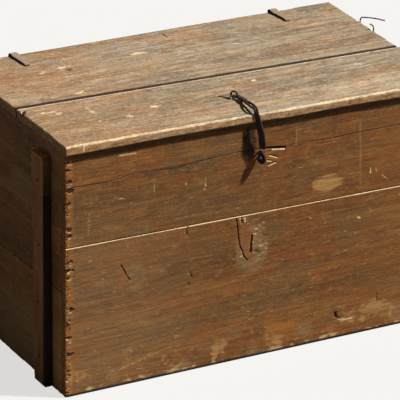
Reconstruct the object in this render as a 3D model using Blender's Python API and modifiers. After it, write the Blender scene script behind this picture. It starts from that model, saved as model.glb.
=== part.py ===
"""Old lidded plank chest: nailed boards, end battens, two strap hinges, a wire hasp and its staple.

X runs along the chest, the front faces -Y and Z is up. The origin is the middle of the underside.
The lid turns on the hinge pins behind the back boards, and the hasp turns on its staple on the lid.
"""

import math

import bmesh
import bpy
from mathutils import Matrix, Vector

# Driving dimensions, in metres.
LENGTH = 0.832
DEPTH = 0.464
WALL_HEIGHT = 0.500
BOARD = 0.018
GAP = 0.0003
WORN_EDGE = 0.0012

# Height of a seam at its middle, and how far it rises towards +X (front and back) or +Y (ends).
FRONT_SEAM = 0.3029
FRONT_SEAM_RISE = -0.0077
END_SEAM = 0.2084
END_SEAM_RISE = -0.0106
BOTTOM_BOARDS = 3

BATTEN_WIDTH = 0.048
BATTEN_CENTRE = 0.1515
BATTEN_LEAN = 0.0092
BATTEN_FOOT = 0.003
BATTEN_TOP = 0.471

LID_SIDE_OVERHANG = 0.004
LID_FRONT_OVERHANG = 0.010
LID_SEAM = -0.0460
LID_SEAM_RISE = -0.0270
LID_SEAM_GAP = 0.003
REAR_BOARD_SKEW = 0.0130
CLEAT_CENTRE = 0.355
CLEAT_WIDTH = 0.045
CLEAT_CLEARANCE = 0.004

HINGE_CENTRES = {"left": -0.301, "right": 0.284}
HINGE_WIDTH = 0.016
STRAP_FRONT = 0.165
STRAP_THICKNESS = 0.003
STRAP_HUMP = 0.003
LEAF_THICKNESS = 0.0025
LEAF_FOOT = 0.432
KNUCKLE_RADIUS = 0.005
KNUCKLE_MIDDLE = 0.0066
PIN_RADIUS = 0.002
PIN_CLEARANCE = 0.0001
PIN_HEAD_RADIUS = 0.0034
PIN_HEAD = 0.0015
AXIS_BEHIND_BACK = 0.0058
AXIS_BELOW_LID = 0.0028

NAIL_HEAD_RADIUS = 0.0032
NAIL_HEAD = 0.0013
NAIL_SHANK_RADIUS = 0.0014
NAIL_SUNK = 0.0005
CORNER_NAIL_LENGTH = 0.040
CORNER_NAIL_HEIGHTS = (0.089, 0.262, 0.345, 0.467)
STRAP_NAIL_LENGTH = 0.017
STRAP_NAIL_PLACES = (0.176, 0.206)
LEAF_NAIL_HEIGHT = 0.446

EYE_PLACE = (-0.0267, -0.1674)
EYE_RADIUS = 0.0065
EYE_WIRE = 0.0014
EYE_LIFT = 0.0019
CROWN_WIRE = 0.0012
CROWN_HEIGHT = 0.0064
CROWN_HALF_WIDTH = 0.009
CROWN_ROUNDING = 0.0022
STAPLE_LEG = 0.012
BAR_RADIUS = 0.0031
STRAND_RADIUS = 0.0016
STRAND_SPREAD = 0.0046
LOOP_BOTTOM = 0.4400
LOOP_OFF_LID = 0.0052

FRONT_STAPLE = (-0.0115, 0.4225)
FRONT_STAPLE_RADIUS = 0.0117
FRONT_STAPLE_WIRE = 0.0017
FRONT_STAPLE_LEAN = math.radians(12)
FRONT_STAPLE_LEGS = 0.0048
FRONT_STAPLE_DEPTH = 0.015

END_WIRE = 0.0014
END_WIRE_PLACE = 0.104
END_WIRE_REACH = 0.054
SMALL_HOOK_PLACE = 0.047

# Places worked out from them.
HALF_LENGTH = LENGTH / 2
HALF_DEPTH = DEPTH / 2
LID_UNDER = WALL_HEIGHT + GAP
LID_TOP = LID_UNDER + BOARD
LID_FRONT = -HALF_DEPTH - LID_FRONT_OVERHANG
LID_REAR = HALF_DEPTH - GAP
LID_HALF_LENGTH = HALF_LENGTH + LID_SIDE_OVERHANG
AXIS_Y = HALF_DEPTH + AXIS_BEHIND_BACK
AXIS_Z = LID_UNDER - AXIS_BELOW_LID
CROWN_Z = LID_TOP + CROWN_HEIGHT

SIDES = {"left": -1, "right": 1}
ROUND_STEPS = 12


def linear(hex_colour):
    """An sRGB colour such as 8a6b4f as linear red, green, blue and alpha."""
    shades = [int(hex_colour[i : i + 2], 16) / 255 for i in (0, 2, 4)]
    return [s / 12.92 if s <= 0.04045 else ((s + 0.055) / 1.055) ** 2.4 for s in shades] + [1.0]


def material(name, hex_colour, roughness, metallic=0.0):
    made = bpy.data.materials.new(name)
    made.use_nodes = True
    shader = made.node_tree.nodes["Principled BSDF"]
    shader.inputs["Base Color"].default_value = linear(hex_colour)
    shader.inputs["Roughness"].default_value = roughness
    shader.inputs["Metallic"].default_value = metallic
    made.diffuse_color = linear(hex_colour)
    return made


def start():
    """An empty scene with a collection for the chest and one for its cutters."""
    for thing in list(bpy.data.objects):
        bpy.data.objects.remove(thing)
    for name in ("plank_chest", "cutters"):
        bpy.context.scene.collection.children.link(bpy.data.collections.new(name))


def place(name, data, finish=None, cutter=False):
    """A mesh or curve as an object in its collection."""
    thing = bpy.data.objects.new(name, data)
    bpy.data.collections["cutters" if cutter else "plank_chest"].objects.link(thing)
    if finish:
        data.materials.append(finish)
    if cutter:
        thing.hide_render = True
        thing.display_type = "WIRE"
    return thing


def box(name, low, high, finish=None, cutter=False):
    """A rectangular block between two corners."""
    low, high = Vector(low), Vector(high)
    shape = bmesh.new()
    bmesh.ops.create_cube(shape, size=1.0)
    bmesh.ops.scale(shape, vec=high - low, verts=shape.verts)
    bmesh.ops.translate(shape, vec=(low + high) / 2, verts=shape.verts)
    mesh = bpy.data.meshes.new(name)
    shape.to_mesh(mesh)
    shape.free()
    return place(name, mesh, finish, cutter)


def slope(thing, along, side, lift):
    """Tilts one sawn edge of a board: lift(x) is added on that side of the axis called along."""
    edge = max(v.co[along] * side for v in thing.data.vertices)
    for vertex in thing.data.vertices:
        if abs(vertex.co[along] * side - edge) < GAP:
            vertex.co[along] += lift(vertex.co)


def worn(thing, width=WORN_EDGE):
    """Takes the sharpness off a board's edges."""
    bevel = thing.modifiers.new("worn_edge", "BEVEL")
    bevel.width = width
    bevel.segments = 1
    bevel.limit_method = "ANGLE"


def cut(thing, cutter, operation="DIFFERENCE"):
    boolean = thing.modifiers.new(cutter.name, "BOOLEAN")
    boolean.operation = operation
    boolean.object = cutter
    boolean.solver = "EXACT"


def as_mesh(thing, cutter=False):
    """A curve or a modified object as a plain welded mesh object of the same name and place."""
    name, matrix = thing.name, thing.matrix_world.copy()
    bpy.context.view_layer.update()
    evaluated = thing.evaluated_get(bpy.context.evaluated_depsgraph_get())
    mesh = bpy.data.meshes.new_from_object(evaluated)
    shape = bmesh.new()
    shape.from_mesh(mesh)
    bmesh.ops.remove_doubles(shape, verts=shape.verts, dist=1e-6)
    bmesh.ops.recalc_face_normals(shape, faces=shape.faces)
    shape.to_mesh(mesh)
    shape.free()
    bpy.data.objects.remove(thing)
    solid = place(name, mesh, cutter=cutter)
    solid.name = name
    solid.matrix_world = matrix
    bpy.context.view_layer.update()
    return solid


def smooth(thing):
    thing.data.shade_smooth()
    thing.data.set_sharp_from_angle(angle=math.radians(40))


def wire(name, points, radius, finish=None, cyclic=False):
    """A round bent wire through the points."""
    curve = bpy.data.curves.new(name, "CURVE")
    curve.dimensions = "3D"
    curve.bevel_depth = radius
    curve.bevel_resolution = 2
    curve.use_fill_caps = True
    spline = curve.splines.new("POLY")
    spline.points.add(len(points) - 1)
    for point, at in zip(spline.points, points):
        point.co = (*at, 1)
    spline.use_cyclic_u = cyclic
    return place(name, curve, finish)


def turned(name, profile, at, outward, finish=None, cutter=False):
    """A turned solid: profile is (radius, height) from its top down, and height points outward."""
    mesh = bpy.data.meshes.new(name)
    verts = [(radius, 0, height) for radius, height in profile]
    mesh.from_pydata(verts, [(i, i + 1) for i in range(len(verts) - 1)], [])
    thing = place(name, mesh, finish, cutter)
    screw = thing.modifiers.new("turn", "SCREW")
    screw.steps = ROUND_STEPS
    screw.render_steps = ROUND_STEPS
    screw.use_merge_vertices = True
    screw.merge_threshold = 1e-5
    thing.rotation_euler = Vector(outward).to_track_quat("Z", "Y").to_euler()
    thing.location = at
    bpy.context.view_layer.update()
    return thing


def rod(name, radius, start_x, end_x, y, z, finish=None, cutter=False):
    """A round rod along X."""
    profile = [(0, end_x - start_x), (radius, end_x - start_x), (radius, 0), (0, 0)]
    return turned(name, profile, (start_x, y, z), (1, 0, 0), finish, cutter)


def nail(name, at, outward, length, finish, through):
    """A flat-headed nail sunk a little below the face at that point, and its holes in the pieces."""
    head = -NAIL_SUNK
    neck = head - NAIL_HEAD
    tip = head - length
    profile = [(0, head), (NAIL_HEAD_RADIUS, head), (NAIL_HEAD_RADIUS, neck)]
    profile += [(NAIL_SHANK_RADIUS, neck), (NAIL_SHANK_RADIUS, tip), (0, tip)]
    turned(name, profile, at, outward, finish)
    wide = NAIL_HEAD_RADIUS + GAP
    narrow = NAIL_SHANK_RADIUS + GAP
    above = BOARD / 2
    hole = [(0, above), (wide, above), (wide, neck - GAP)]
    hole += [(narrow, neck - GAP), (narrow, tip - GAP), (0, tip - GAP)]
    cutter = turned(name + "_hole", hole, at, outward, cutter=True)
    for piece in through:
        cut(piece, cutter)


def walls(wood):
    """The front and back boards over the full length, and the end boards between them."""

    def front_rise(co):
        return FRONT_SEAM_RISE * co.x / LENGTH

    def end_rise(co):
        return END_SEAM_RISE * co.y / DEPTH

    made = {}
    for face, side in (("front", -1), ("back", 1)):
        ys = sorted((side * HALF_DEPTH, side * (HALF_DEPTH - BOARD)))
        lower = box(
            f"{face}_board_lower", (-HALF_LENGTH, ys[0], 0), (HALF_LENGTH, ys[1], FRONT_SEAM), wood
        )
        upper = box(
            f"{face}_board_upper",
            (-HALF_LENGTH, ys[0], FRONT_SEAM + GAP),
            (HALF_LENGTH, ys[1], WALL_HEIGHT),
            wood,
        )
        slope(lower, 2, 1, front_rise)
        slope(upper, 2, -1, front_rise)
        made[face, "lower"] = lower
        made[face, "upper"] = upper
    inner = HALF_DEPTH - BOARD - GAP
    for face, side in SIDES.items():
        xs = sorted((side * HALF_LENGTH, side * (HALF_LENGTH - BOARD)))
        lower = box(f"{face}_end_board_lower", (xs[0], -inner, 0), (xs[1], inner, END_SEAM), wood)
        upper = box(
            f"{face}_end_board_upper",
            (xs[0], -inner, END_SEAM + GAP),
            (xs[1], inner, WALL_HEIGHT),
            wood,
        )
        slope(lower, 2, 1, end_rise)
        slope(upper, 2, -1, end_rise)
        made[face, "lower"] = lower
        made[face, "upper"] = upper
    for board in made.values():
        worn(board)
    return made


def bottom(wood):
    """Boards that run lengthwise between the walls, flush with their lower edges."""
    half_length = HALF_LENGTH - BOARD - GAP
    half_depth = HALF_DEPTH - BOARD - GAP
    width = 2 * half_depth / BOTTOM_BOARDS
    for i, name in enumerate(("front", "middle", "rear")):
        low = -half_depth + i * width + GAP / 2
        high = -half_depth + (i + 1) * width - GAP / 2
        board = box(
            f"bottom_board_{name}", (-half_length, low, 0), (half_length, high, BOARD), wood
        )
        worn(board)


def battens(wood):
    """Upright battens on the outside of the ends, each leaning a little."""
    for face, side in SIDES.items():
        xs = sorted((side * (HALF_LENGTH + GAP), side * (HALF_LENGTH + GAP + BOARD)))
        for name, end in (("front", -1), ("rear", 1)):
            middle = end * BATTEN_CENTRE
            batten = box(
                f"{face}_batten_{name}",
                (xs[0], middle - BATTEN_WIDTH / 2, BATTEN_FOOT),
                (xs[1], middle + BATTEN_WIDTH / 2, BATTEN_TOP),
                wood,
            )
            for vertex in batten.data.vertices:
                share = (vertex.co.z - BATTEN_FOOT) / (BATTEN_TOP - BATTEN_FOOT) - 0.5
                vertex.co.y -= end * share * BATTEN_LEAN
            worn(batten)


def rear_end(y):
    """Where the rear lid board's right end is at that depth."""
    return LID_HALF_LENGTH - REAR_BOARD_SKEW * (LID_REAR - y) / (LID_REAR - LID_SEAM)


def lid(wood):
    """Two boards with an open seam, and the two cleats that hold them together underneath."""

    def seam_rise(co):
        return LID_SEAM_RISE * co.x / (2 * LID_HALF_LENGTH)

    def end_skew(co):
        return rear_end(co.y) - LID_HALF_LENGTH

    seam_front = LID_SEAM - LID_SEAM_GAP / 2
    seam_rear = LID_SEAM + LID_SEAM_GAP / 2
    front = box(
        "lid_board_front",
        (-LID_HALF_LENGTH, LID_FRONT, LID_UNDER),
        (LID_HALF_LENGTH, seam_front, LID_TOP),
        wood,
    )
    rear = box(
        "lid_board_rear",
        (-LID_HALF_LENGTH, seam_rear, LID_UNDER),
        (LID_HALF_LENGTH, LID_REAR, LID_TOP),
        wood,
    )
    slope(front, 1, 1, seam_rise)
    slope(rear, 1, -1, seam_rise)
    slope(rear, 0, 1, end_skew)
    worn(front)
    worn(rear)
    reach = HALF_DEPTH - BOARD - CLEAT_CLEARANCE
    for face, side in SIDES.items():
        middle = side * CLEAT_CENTRE
        cleat = box(
            f"lid_cleat_{face}",
            (middle - CLEAT_WIDTH / 2, -reach, LID_UNDER - GAP - BOARD),
            (middle + CLEAT_WIDTH / 2, reach, LID_UNDER - GAP),
            wood,
        )
        worn(cleat)
    return front, rear


def corner_nails(boards, iron):
    """Nails through the front and back boards into the edges of the end boards."""
    for face, side in (("front", -1), ("back", 1)):
        for end, hand in SIDES.items():
            for number, height in enumerate(CORNER_NAIL_HEIGHTS, 1):
                faced = boards[face, "lower" if height < FRONT_SEAM else "upper"]
                edge = boards[end, "lower" if height < END_SEAM else "upper"]
                at = (hand * (HALF_LENGTH - BOARD / 2), side * HALF_DEPTH, height)
                name = f"{face}_{end}_nail_{number}"
                nail(name, at, (0, side, 0), CORNER_NAIL_LENGTH, iron, (faced, edge))


def ribbon(points, thickness):
    """The closed outline of a strip of that thickness about a centre line."""
    points = [Vector(p) for p in points]
    sides = []
    for i, point in enumerate(points):
        before = points[max(i - 1, 0)]
        after = points[min(i + 1, len(points) - 1)]
        along = (after - before).normalized()
        across = Vector((-along.y, along.x))
        turn = (point - before).normalized() if i else along
        stretch = 1 / max(abs(turn.dot(along)), 0.5)
        sides.append(across * thickness / 2 * stretch)
    return [p + s for p, s in zip(points, sides)] + [p - s for p, s in zip(points, sides)][::-1]


def extruded(name, outline, middle_x, width):
    """A flat (y, z) outline made a solid of that width along X."""
    curve = bpy.data.curves.new(name, "CURVE")
    curve.dimensions = "2D"
    curve.fill_mode = "BOTH"
    curve.extrude = width / 2
    spline = curve.splines.new("POLY")
    spline.points.add(len(outline) - 1)
    for point, (y, z) in zip(spline.points, outline):
        point.co = (y, z, 0, 1)
    spline.use_cyclic_u = True
    thing = place(name, curve)
    turn = Matrix(((0, 0, 1), (1, 0, 0), (0, 1, 0))).to_4x4()
    thing.matrix_world = Matrix.Translation((middle_x, 0, 0)) @ turn
    bpy.context.view_layer.update()
    return as_mesh(thing)


def hinge(face, lid_rear, back_upper, iron):
    """A strap over the lid's rear edge, a leaf on the back board and the pin that joins them."""
    middle = HINGE_CENTRES[face]
    on_lid = LID_TOP + GAP + STRAP_THICKNESS / 2
    fall = LID_REAR + 2 * GAP + STRAP_THICKNESS / 2
    hump = on_lid + STRAP_HUMP
    line = [(STRAP_FRONT, on_lid), (LID_REAR - 0.016, on_lid), (LID_REAR - 0.007, hump)]
    line += [(LID_REAR - 0.0015, hump - 0.0001), (fall - 0.0003, hump - 0.0016)]
    line += [(fall, on_lid - 0.001), (fall, AXIS_Z)]
    strap = extruded(f"hinge_strap_{face}", ribbon(line, STRAP_THICKNESS), middle, HINGE_WIDTH)
    tongue = KNUCKLE_MIDDLE / 2
    knuckle = rod(
        f"strap_knuckle_{face}", KNUCKLE_RADIUS, middle - tongue, middle + tongue, AXIS_Y, AXIS_Z,
        cutter=True,
    )
    cut(strap, knuckle, "UNION")
    clear = KNUCKLE_RADIUS + GAP
    for side in SIDES.values():
        xs = sorted((middle + side * tongue, middle + side * HINGE_WIDTH))
        notch = box(
            f"strap_notch_{face}_{side}",
            (xs[0], HALF_DEPTH - 2 * clear, AXIS_Z - 2 * clear),
            (xs[1], HALF_DEPTH + 4 * clear, AXIS_Z + clear),
            cutter=True,
        )
        cut(strap, notch)

    half = HINGE_WIDTH / 2
    leaf_front = HALF_DEPTH + GAP
    leaf = box(
        f"hinge_leaf_{face}",
        (middle - half, leaf_front, LEAF_FOOT),
        (middle + half, leaf_front + LEAF_THICKNESS, AXIS_Z),
    )
    barrel = rod(
        f"leaf_barrel_{face}", KNUCKLE_RADIUS, middle - half, middle + half, AXIS_Y, AXIS_Z,
        cutter=True,
    )
    cut(leaf, barrel, "UNION")
    slot = box(
        f"leaf_slot_{face}",
        (middle - tongue - GAP, HALF_DEPTH - clear, AXIS_Z - clear),
        (middle + tongue + GAP, HALF_DEPTH + 4 * clear, AXIS_Z + 2 * clear),
        cutter=True,
    )
    cut(leaf, slot)
    bore = rod(
        f"pin_bore_{face}", PIN_RADIUS + PIN_CLEARANCE, middle - 2 * half, middle + 2 * half,
        AXIS_Y, AXIS_Z, cutter=True,
    )
    for piece in (strap, leaf):
        cut(piece, bore)
        piece.data.materials.append(iron)

    reach = half + GAP + PIN_HEAD
    profile = [(0, reach), (PIN_HEAD_RADIUS, reach), (PIN_HEAD_RADIUS, half + GAP)]
    profile += [(PIN_RADIUS, half + GAP), (PIN_RADIUS, -half - GAP)]
    profile += [(PIN_HEAD_RADIUS, -half - GAP), (PIN_HEAD_RADIUS, -reach), (0, -reach)]
    turned(f"hinge_pin_{face}", profile, (middle, AXIS_Y, AXIS_Z), (1, 0, 0), iron)

    strap_face = on_lid + STRAP_THICKNESS / 2
    for number, y in enumerate(STRAP_NAIL_PLACES, 1):
        nail(
            f"strap_nail_{face}_{number}", (middle, y, strap_face), (0, 0, 1),
            STRAP_NAIL_LENGTH, iron, (strap, lid_rear),
        )
    at = (middle, leaf_front + LEAF_THICKNESS, LEAF_NAIL_HEIGHT)
    nail(f"leaf_nail_{face}", at, (0, 1, 0), STRAP_NAIL_LENGTH, iron, (leaf, back_upper))


def legs_cut(board, legs, radius, outward):
    """Drills the holes for a staple's legs, from above the board's face to the points given."""
    for i, tip in enumerate(legs):
        hole = [(0, 2 * BOARD), (radius + GAP, 2 * BOARD), (radius + GAP, -GAP), (0, -GAP)]
        cut(board, turned(f"{board.name}_leg_{outward}_{i}", hole, tip, outward, cutter=True))


def hasp_staple(lid_front, iron):
    """A low wire staple on the lid: its crown lies along X and is the hasp's axis."""
    x, y = EYE_PLACE
    steps = 4
    points = []
    for side in (-1, 1):
        corner = []
        for i in range(steps + 1):
            angle = math.pi / 2 * i / steps
            out = CROWN_HALF_WIDTH - CROWN_ROUNDING * (1 - math.cos(angle))
            up = CROWN_HEIGHT - CROWN_ROUNDING * (1 - math.sin(angle))
            corner.append((x + side * out, y, LID_TOP + up))
        leg = [(x + side * CROWN_HALF_WIDTH, y, LID_TOP - STAPLE_LEG)]
        points += leg + corner if side < 0 else (leg + corner)[::-1]
    smooth(as_finished(wire("hasp_staple", points, CROWN_WIRE), iron))
    legs_cut(lid_front, (points[0], points[-1]), CROWN_WIRE, (0, 0, 1))


def as_finished(thing, finish):
    """The same piece as a welded mesh with its material."""
    solid = as_mesh(thing)
    solid.data.materials.clear()
    solid.data.materials.append(finish)
    return solid


def hasp_line(share):
    """The hasp's middle line from its bar, at 0, over the lid's front edge to its lower end, at 1."""
    edge = LID_FRONT - LOOP_OFF_LID
    over = LID_TOP + 0.0042
    stations = [
        (0.00, -0.0195, -0.1975, LID_TOP + 0.0040),
        (0.18, -0.0200, -0.2160, LID_TOP + 0.0050),
        (0.34, -0.0212, -0.2330, over),
        (0.42, -0.0214, edge + 0.0050, over),
        (0.49, -0.0212, edge + 0.0004, LID_TOP - 0.0010),
        (0.58, -0.0200, edge - 0.0006, LID_TOP - 0.0130),
        (0.80, -0.0145, edge - 0.0004, LID_TOP - 0.0420),
        (1.00, -0.0098, edge, LOOP_BOTTOM),
    ]
    for before, after in zip(stations, stations[1:]):
        if share <= after[0]:
            t = (share - before[0]) / (after[0] - before[0])
            return Vector(before[1:]).lerp(Vector(after[1:]), t)
    return Vector(stations[-1][1:])


def hasp_loop(iron):
    """One bent wire piece: an eye on the staple, a twisted bar and a long loop over the lid's edge."""
    x, y = EYE_PLACE
    eye_z = LID_TOP + EYE_LIFT + EYE_WIRE + EYE_RADIUS
    diagonal = EYE_RADIUS * math.sqrt(0.5)
    eye = []
    for i in range(20):
        angle = math.tau * i / 20
        out = diagonal * math.cos(angle)
        eye.append((x + out, y - out, eye_z + EYE_RADIUS * math.sin(angle)))
    hasp = as_finished(wire("hasp_loop", eye, EYE_WIRE, cyclic=True), iron)

    bar = [(x + 0.0042, y - 0.0044, LID_TOP + 0.0070), (x + 0.0055, y - 0.0110, LID_TOP + 0.0048)]
    bar += [(x + 0.0068, y - 0.0230, LID_TOP + 0.0041), hasp_line(0.03)]
    bar_solid = as_mesh(wire("hasp_bar", bar, BAR_RADIUS), cutter=True)
    cut(hasp, bar_solid, "UNION")

    steps = 18
    spread = []
    for i in range(steps + 1):
        share = i / steps
        opening = min(1.0, 0.30 + share * 3.5)
        spread.append((hasp_line(share), STRAND_SPREAD * opening))
    left = [middle - Vector((half, 0, 0)) for middle, half in spread]
    right = [middle + Vector((half, 0, 0)) for middle, half in spread]
    end = []
    for i in range(1, 6):
        angle = math.pi * i / 6
        out = STRAND_SPREAD * math.cos(angle)
        end.append(spread[-1][0] + Vector((-out, 0, -STRAND_SPREAD * 0.3 * math.sin(angle))))
    strands = as_mesh(wire("hasp_strands", left + end + right[::-1], STRAND_RADIUS), cutter=True)
    cut(hasp, strands, "UNION")
    return hasp


def front_staple(board, iron):
    """The staple that the hasp drops over: a round wire eye, leaning a little, with two legs."""
    x, z = FRONT_STAPLE
    face = -HALF_DEPTH
    out = Vector((math.sin(FRONT_STAPLE_LEAN), -math.cos(FRONT_STAPLE_LEAN), 0))
    middle = Vector((x, face, z)) + out * (FRONT_STAPLE_RADIUS + FRONT_STAPLE_WIRE)
    open_half = math.asin(FRONT_STAPLE_LEGS / FRONT_STAPLE_RADIUS)
    points = []
    steps = 16
    for i in range(steps + 1):
        angle = math.pi - open_half - (math.tau - 2 * open_half) * i / steps
        turn = out * math.cos(angle) + Vector((0, 0, math.sin(angle)))
        points.append(middle + turn * FRONT_STAPLE_RADIUS)
    tips = []
    for side in (1, -1):
        tips.append(Vector((points[0].x, face + FRONT_STAPLE_DEPTH, z + side * FRONT_STAPLE_LEGS)))
    staple = wire("front_staple", [tips[0]] + points + [tips[1]], FRONT_STAPLE_WIRE)
    smooth(as_finished(staple, iron))
    legs_cut(board, tips, FRONT_STAPLE_WIRE, (0, -1, 0))


def end_wires(lid_rear, iron):
    """Two bent wire nails in the right end of the lid."""
    middle = (LID_UNDER + LID_TOP) / 2
    y = END_WIRE_PLACE
    end = rear_end(y)
    long_wire = [
        (end - 0.020, y, middle),
        (end + 0.0015, y, middle),
        (end + 0.0030, y, middle + 0.0025),
        (end + 0.0036, y, middle + 0.0110),
        (end + 0.0058, y, middle + 0.0150),
        (end + 0.0100, y - 0.0010, middle + 0.0158),
        (end + END_WIRE_REACH * 0.6, y - 0.0070, middle + 0.0120),
        (end + END_WIRE_REACH, y - 0.0130, middle + 0.0055),
    ]
    y = SMALL_HOOK_PLACE
    end = rear_end(y)
    hook = [
        (end - 0.020, y, middle),
        (end + 0.0010, y, middle),
        (end + 0.0028, y, middle + 0.0030),
        (end + 0.0030, y + 0.0004, middle + 0.0130),
        (end + 0.0005, y + 0.0020, middle + 0.0180),
        (end - 0.0035, y + 0.0050, middle + 0.0205),
    ]
    for name, points in (("end_wire_long", long_wire), ("end_hook_small", hook)):
        smooth(as_finished(wire(name, points, END_WIRE), iron))
        legs_cut(lid_rear, (points[0],), END_WIRE, (1, 0, 0))


def main():
    start()
    wood = material("old_pine", "8a6444", 0.8)
    lid_wood = material("weathered_pine", "a89274", 0.85)
    iron = material("rusty_iron", "3a2a22", 0.7, 0.6)
    boards = walls(wood)
    bottom(wood)
    battens(wood)
    lid_front, lid_rear = lid(lid_wood)
    corner_nails(boards, iron)
    for face in SIDES:
        hinge(face, lid_rear, boards["back", "upper"], iron)
    hasp_staple(lid_front, iron)
    hasp_loop(iron)
    front_staple(boards["front", "upper"], iron)
    end_wires(lid_rear, iron)


main()
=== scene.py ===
"""Looks of an old lidded plank chest: worn pine boards, a weathered lid, rusty straps, wires and hasp.

Places are in metres in the frame's own axes: X along the chest, the front faces -Y, Z is up. The
sizes given to lumps, close_to, on_line and in_spot, and in the tables of wear, are in millimetres.
"""

import functools
import itertools
import math

import bmesh
import bpy
import numpy as np
from bpy.props import FloatProperty, FloatVectorProperty, PointerProperty
from bpy.types import Operator, Panel, PropertyGroup
from mathutils import Matrix, Vector


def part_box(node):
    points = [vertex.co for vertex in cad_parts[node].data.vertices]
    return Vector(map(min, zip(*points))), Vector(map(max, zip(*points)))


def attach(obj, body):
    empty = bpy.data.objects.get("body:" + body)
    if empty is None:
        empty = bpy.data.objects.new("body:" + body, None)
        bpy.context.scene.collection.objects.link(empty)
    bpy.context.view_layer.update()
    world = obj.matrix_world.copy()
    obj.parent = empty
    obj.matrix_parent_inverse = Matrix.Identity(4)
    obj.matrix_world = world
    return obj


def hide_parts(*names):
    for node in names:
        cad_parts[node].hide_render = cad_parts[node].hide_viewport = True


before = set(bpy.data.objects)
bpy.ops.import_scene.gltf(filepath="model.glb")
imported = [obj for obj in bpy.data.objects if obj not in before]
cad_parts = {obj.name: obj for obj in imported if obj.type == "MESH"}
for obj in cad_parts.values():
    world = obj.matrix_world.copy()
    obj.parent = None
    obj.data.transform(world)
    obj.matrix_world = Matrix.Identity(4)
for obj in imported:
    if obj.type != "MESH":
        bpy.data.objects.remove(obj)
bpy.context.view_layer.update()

bl_info = {
    "name": "Old plank chest",
    "version": (1, 0, 0),
    "blender": (4, 5, 0),
    "location": "3D View > Sidebar > Chest",
    "description": "Builds the worn boards, lid, hinges and wire hasp of an old plank chest",
    "category": "Object",
}

MM = 0.001
X, Y, Z = 0, 1, 2
UP = Vector((0, 0, 1))

LEFT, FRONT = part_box("front_board_lower")[0].xy
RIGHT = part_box("front_board_lower")[1].x
WALL_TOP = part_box("front_board_upper")[1].z
LID_LEFT, LID_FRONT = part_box("lid_board_front")[0].xy
LID_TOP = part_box("lid_board_front")[1].z
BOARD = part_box("bottom_board_front")[1].z
LOOP_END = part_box("hasp_loop")[0].z + 5.5 * MM


# Settings ------------------------------------------------------------------------------------


def linear(hex_colour):
    """An sRGB colour such as 8a6b4f as linear red, green, blue and alpha."""
    shades = [int(hex_colour[i : i + 2], 16) / 255 for i in (0, 2, 4)]
    return [s / 12.92 if s <= 0.04045 else ((s + 0.055) / 1.055) ** 2.4 for s in shades] + [1.0]


def colour_setting(name, description, hex_colour):
    return FloatVectorProperty(name=name, description=description, subtype="COLOR", size=4,
                               min=0, max=1, default=linear(hex_colour))


def length_setting(name, description, default, least, most):
    """A length property; its default and limits are given in millimetres."""
    return FloatProperty(name=name, description=description, unit="LENGTH",
                         default=default * MM, min=least * MM, max=most * MM)


class ChestSizes(PropertyGroup):
    """Sizes that a user may change."""

    cell: length_setting("Mesh cell", "Length of a mesh cell on the boards that show most", 2.8, 1, 20)
    rounding: length_setting("Edge rounding", "Rounding of the handled edges of a board", 1.2, 0.2, 4)
    lid_rounding: length_setting(
        "Lid edge rounding", "Rounding of the lid's front edge, where hands have lifted it", 4.5, 1, 8)
    floor: length_setting("Floor size", "Side of the floor under the chest", 30000, 2000, 100000)


class ChestColours(PropertyGroup):
    """Colours of the finishes."""

    wall: colour_setting("Wall wood", "Old brown pine of the walls", "67401b")
    lid: colour_setting("Lid wood", "Weathered grey pine of the lid", "7d6a53")
    raw: colour_setting("Worn wood", "Bare fibres on chipped and handled edges", "c8ae82")
    iron: colour_setting("Iron", "Dark skin of the old iron wire and straps", "17110d")
    rust: colour_setting("Rust", "Rust that blooms on the iron", "3d2314")
    floor: colour_setting("Floor", "Pale studio floor", "e9e8e6")


# Modelling helpers ---------------------------------------------------------------------------


def only(piece):
    """Makes one piece the selected and active one."""
    bpy.ops.object.select_all(action="DESELECT")
    piece.select_set(True)
    bpy.context.view_layer.objects.active = piece


def primitive(name, kind, scale=(1, 1, 1), **where):
    """A new primitive, with its place and size put into its mesh."""
    bpy.ops.object.select_all(action="DESELECT")
    getattr(bpy.ops.mesh, f"primitive_{kind}_add")(**where)
    piece = bpy.context.object
    piece.name = name
    piece.scale = scale
    bpy.ops.object.transform_apply(location=True, rotation=True, scale=True)
    return piece


def finish_with(piece, kind, **settings):
    """Adds a modifier with its settings to the active piece and applies it."""
    made = piece.modifiers.new(kind.lower(), kind)
    for name, value in settings.items():
        setattr(made, name, value)
    bpy.ops.object.modifier_apply(modifier=made.name)


def smooth_under(degrees):
    """Shades the active piece smooth, apart from edges sharper than the angle."""
    bpy.ops.object.shade_smooth_by_angle(angle=math.radians(degrees))


def fit(piece, body, slot, finish, *nodes):
    """Gives a piece its material and hangs it on its body in place of the CAD nodes; slot is not used."""
    piece.data.materials.clear()
    piece.data.materials.append(finish)
    if nodes:
        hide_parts(*nodes)
    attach(piece, body)


def pick(piece, kind, test):
    """In edit mode, selects the verts, edges or faces that pass a test, and no others."""
    shape = bmesh.from_edit_mesh(piece.data)
    shape.select_mode = {kind[:-1].upper()}
    for part in itertools.chain(shape.verts, shape.edges, shape.faces):
        part.select = False
    for part in getattr(shape, kind):
        if test(part):
            part.select_set(True)
    bmesh.update_edit_mesh(piece.data)


def runs_along(edge, axis):
    """Whether an edge runs nearly along an axis."""
    line = edge.verts[1].co - edge.verts[0].co
    return abs(line[axis]) > 0.9 * line.length


def split_along(piece, axis, cell):
    """Cuts every edge that runs along an axis into cells, in two passes of at most about 90 cuts."""
    piece.update_from_editmode()
    along = [v.co[axis] for v in piece.data.vertices]
    wanted = max(1, round((max(along) - min(along)) / cell))
    first = math.ceil(wanted / 90)
    for count in (first, max(1, round(wanted / first))):
        if count > 1:
            pick(piece, "edges", lambda edge: runs_along(edge, axis))
            bpy.ops.mesh.subdivide(number_cuts=count - 1)


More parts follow.
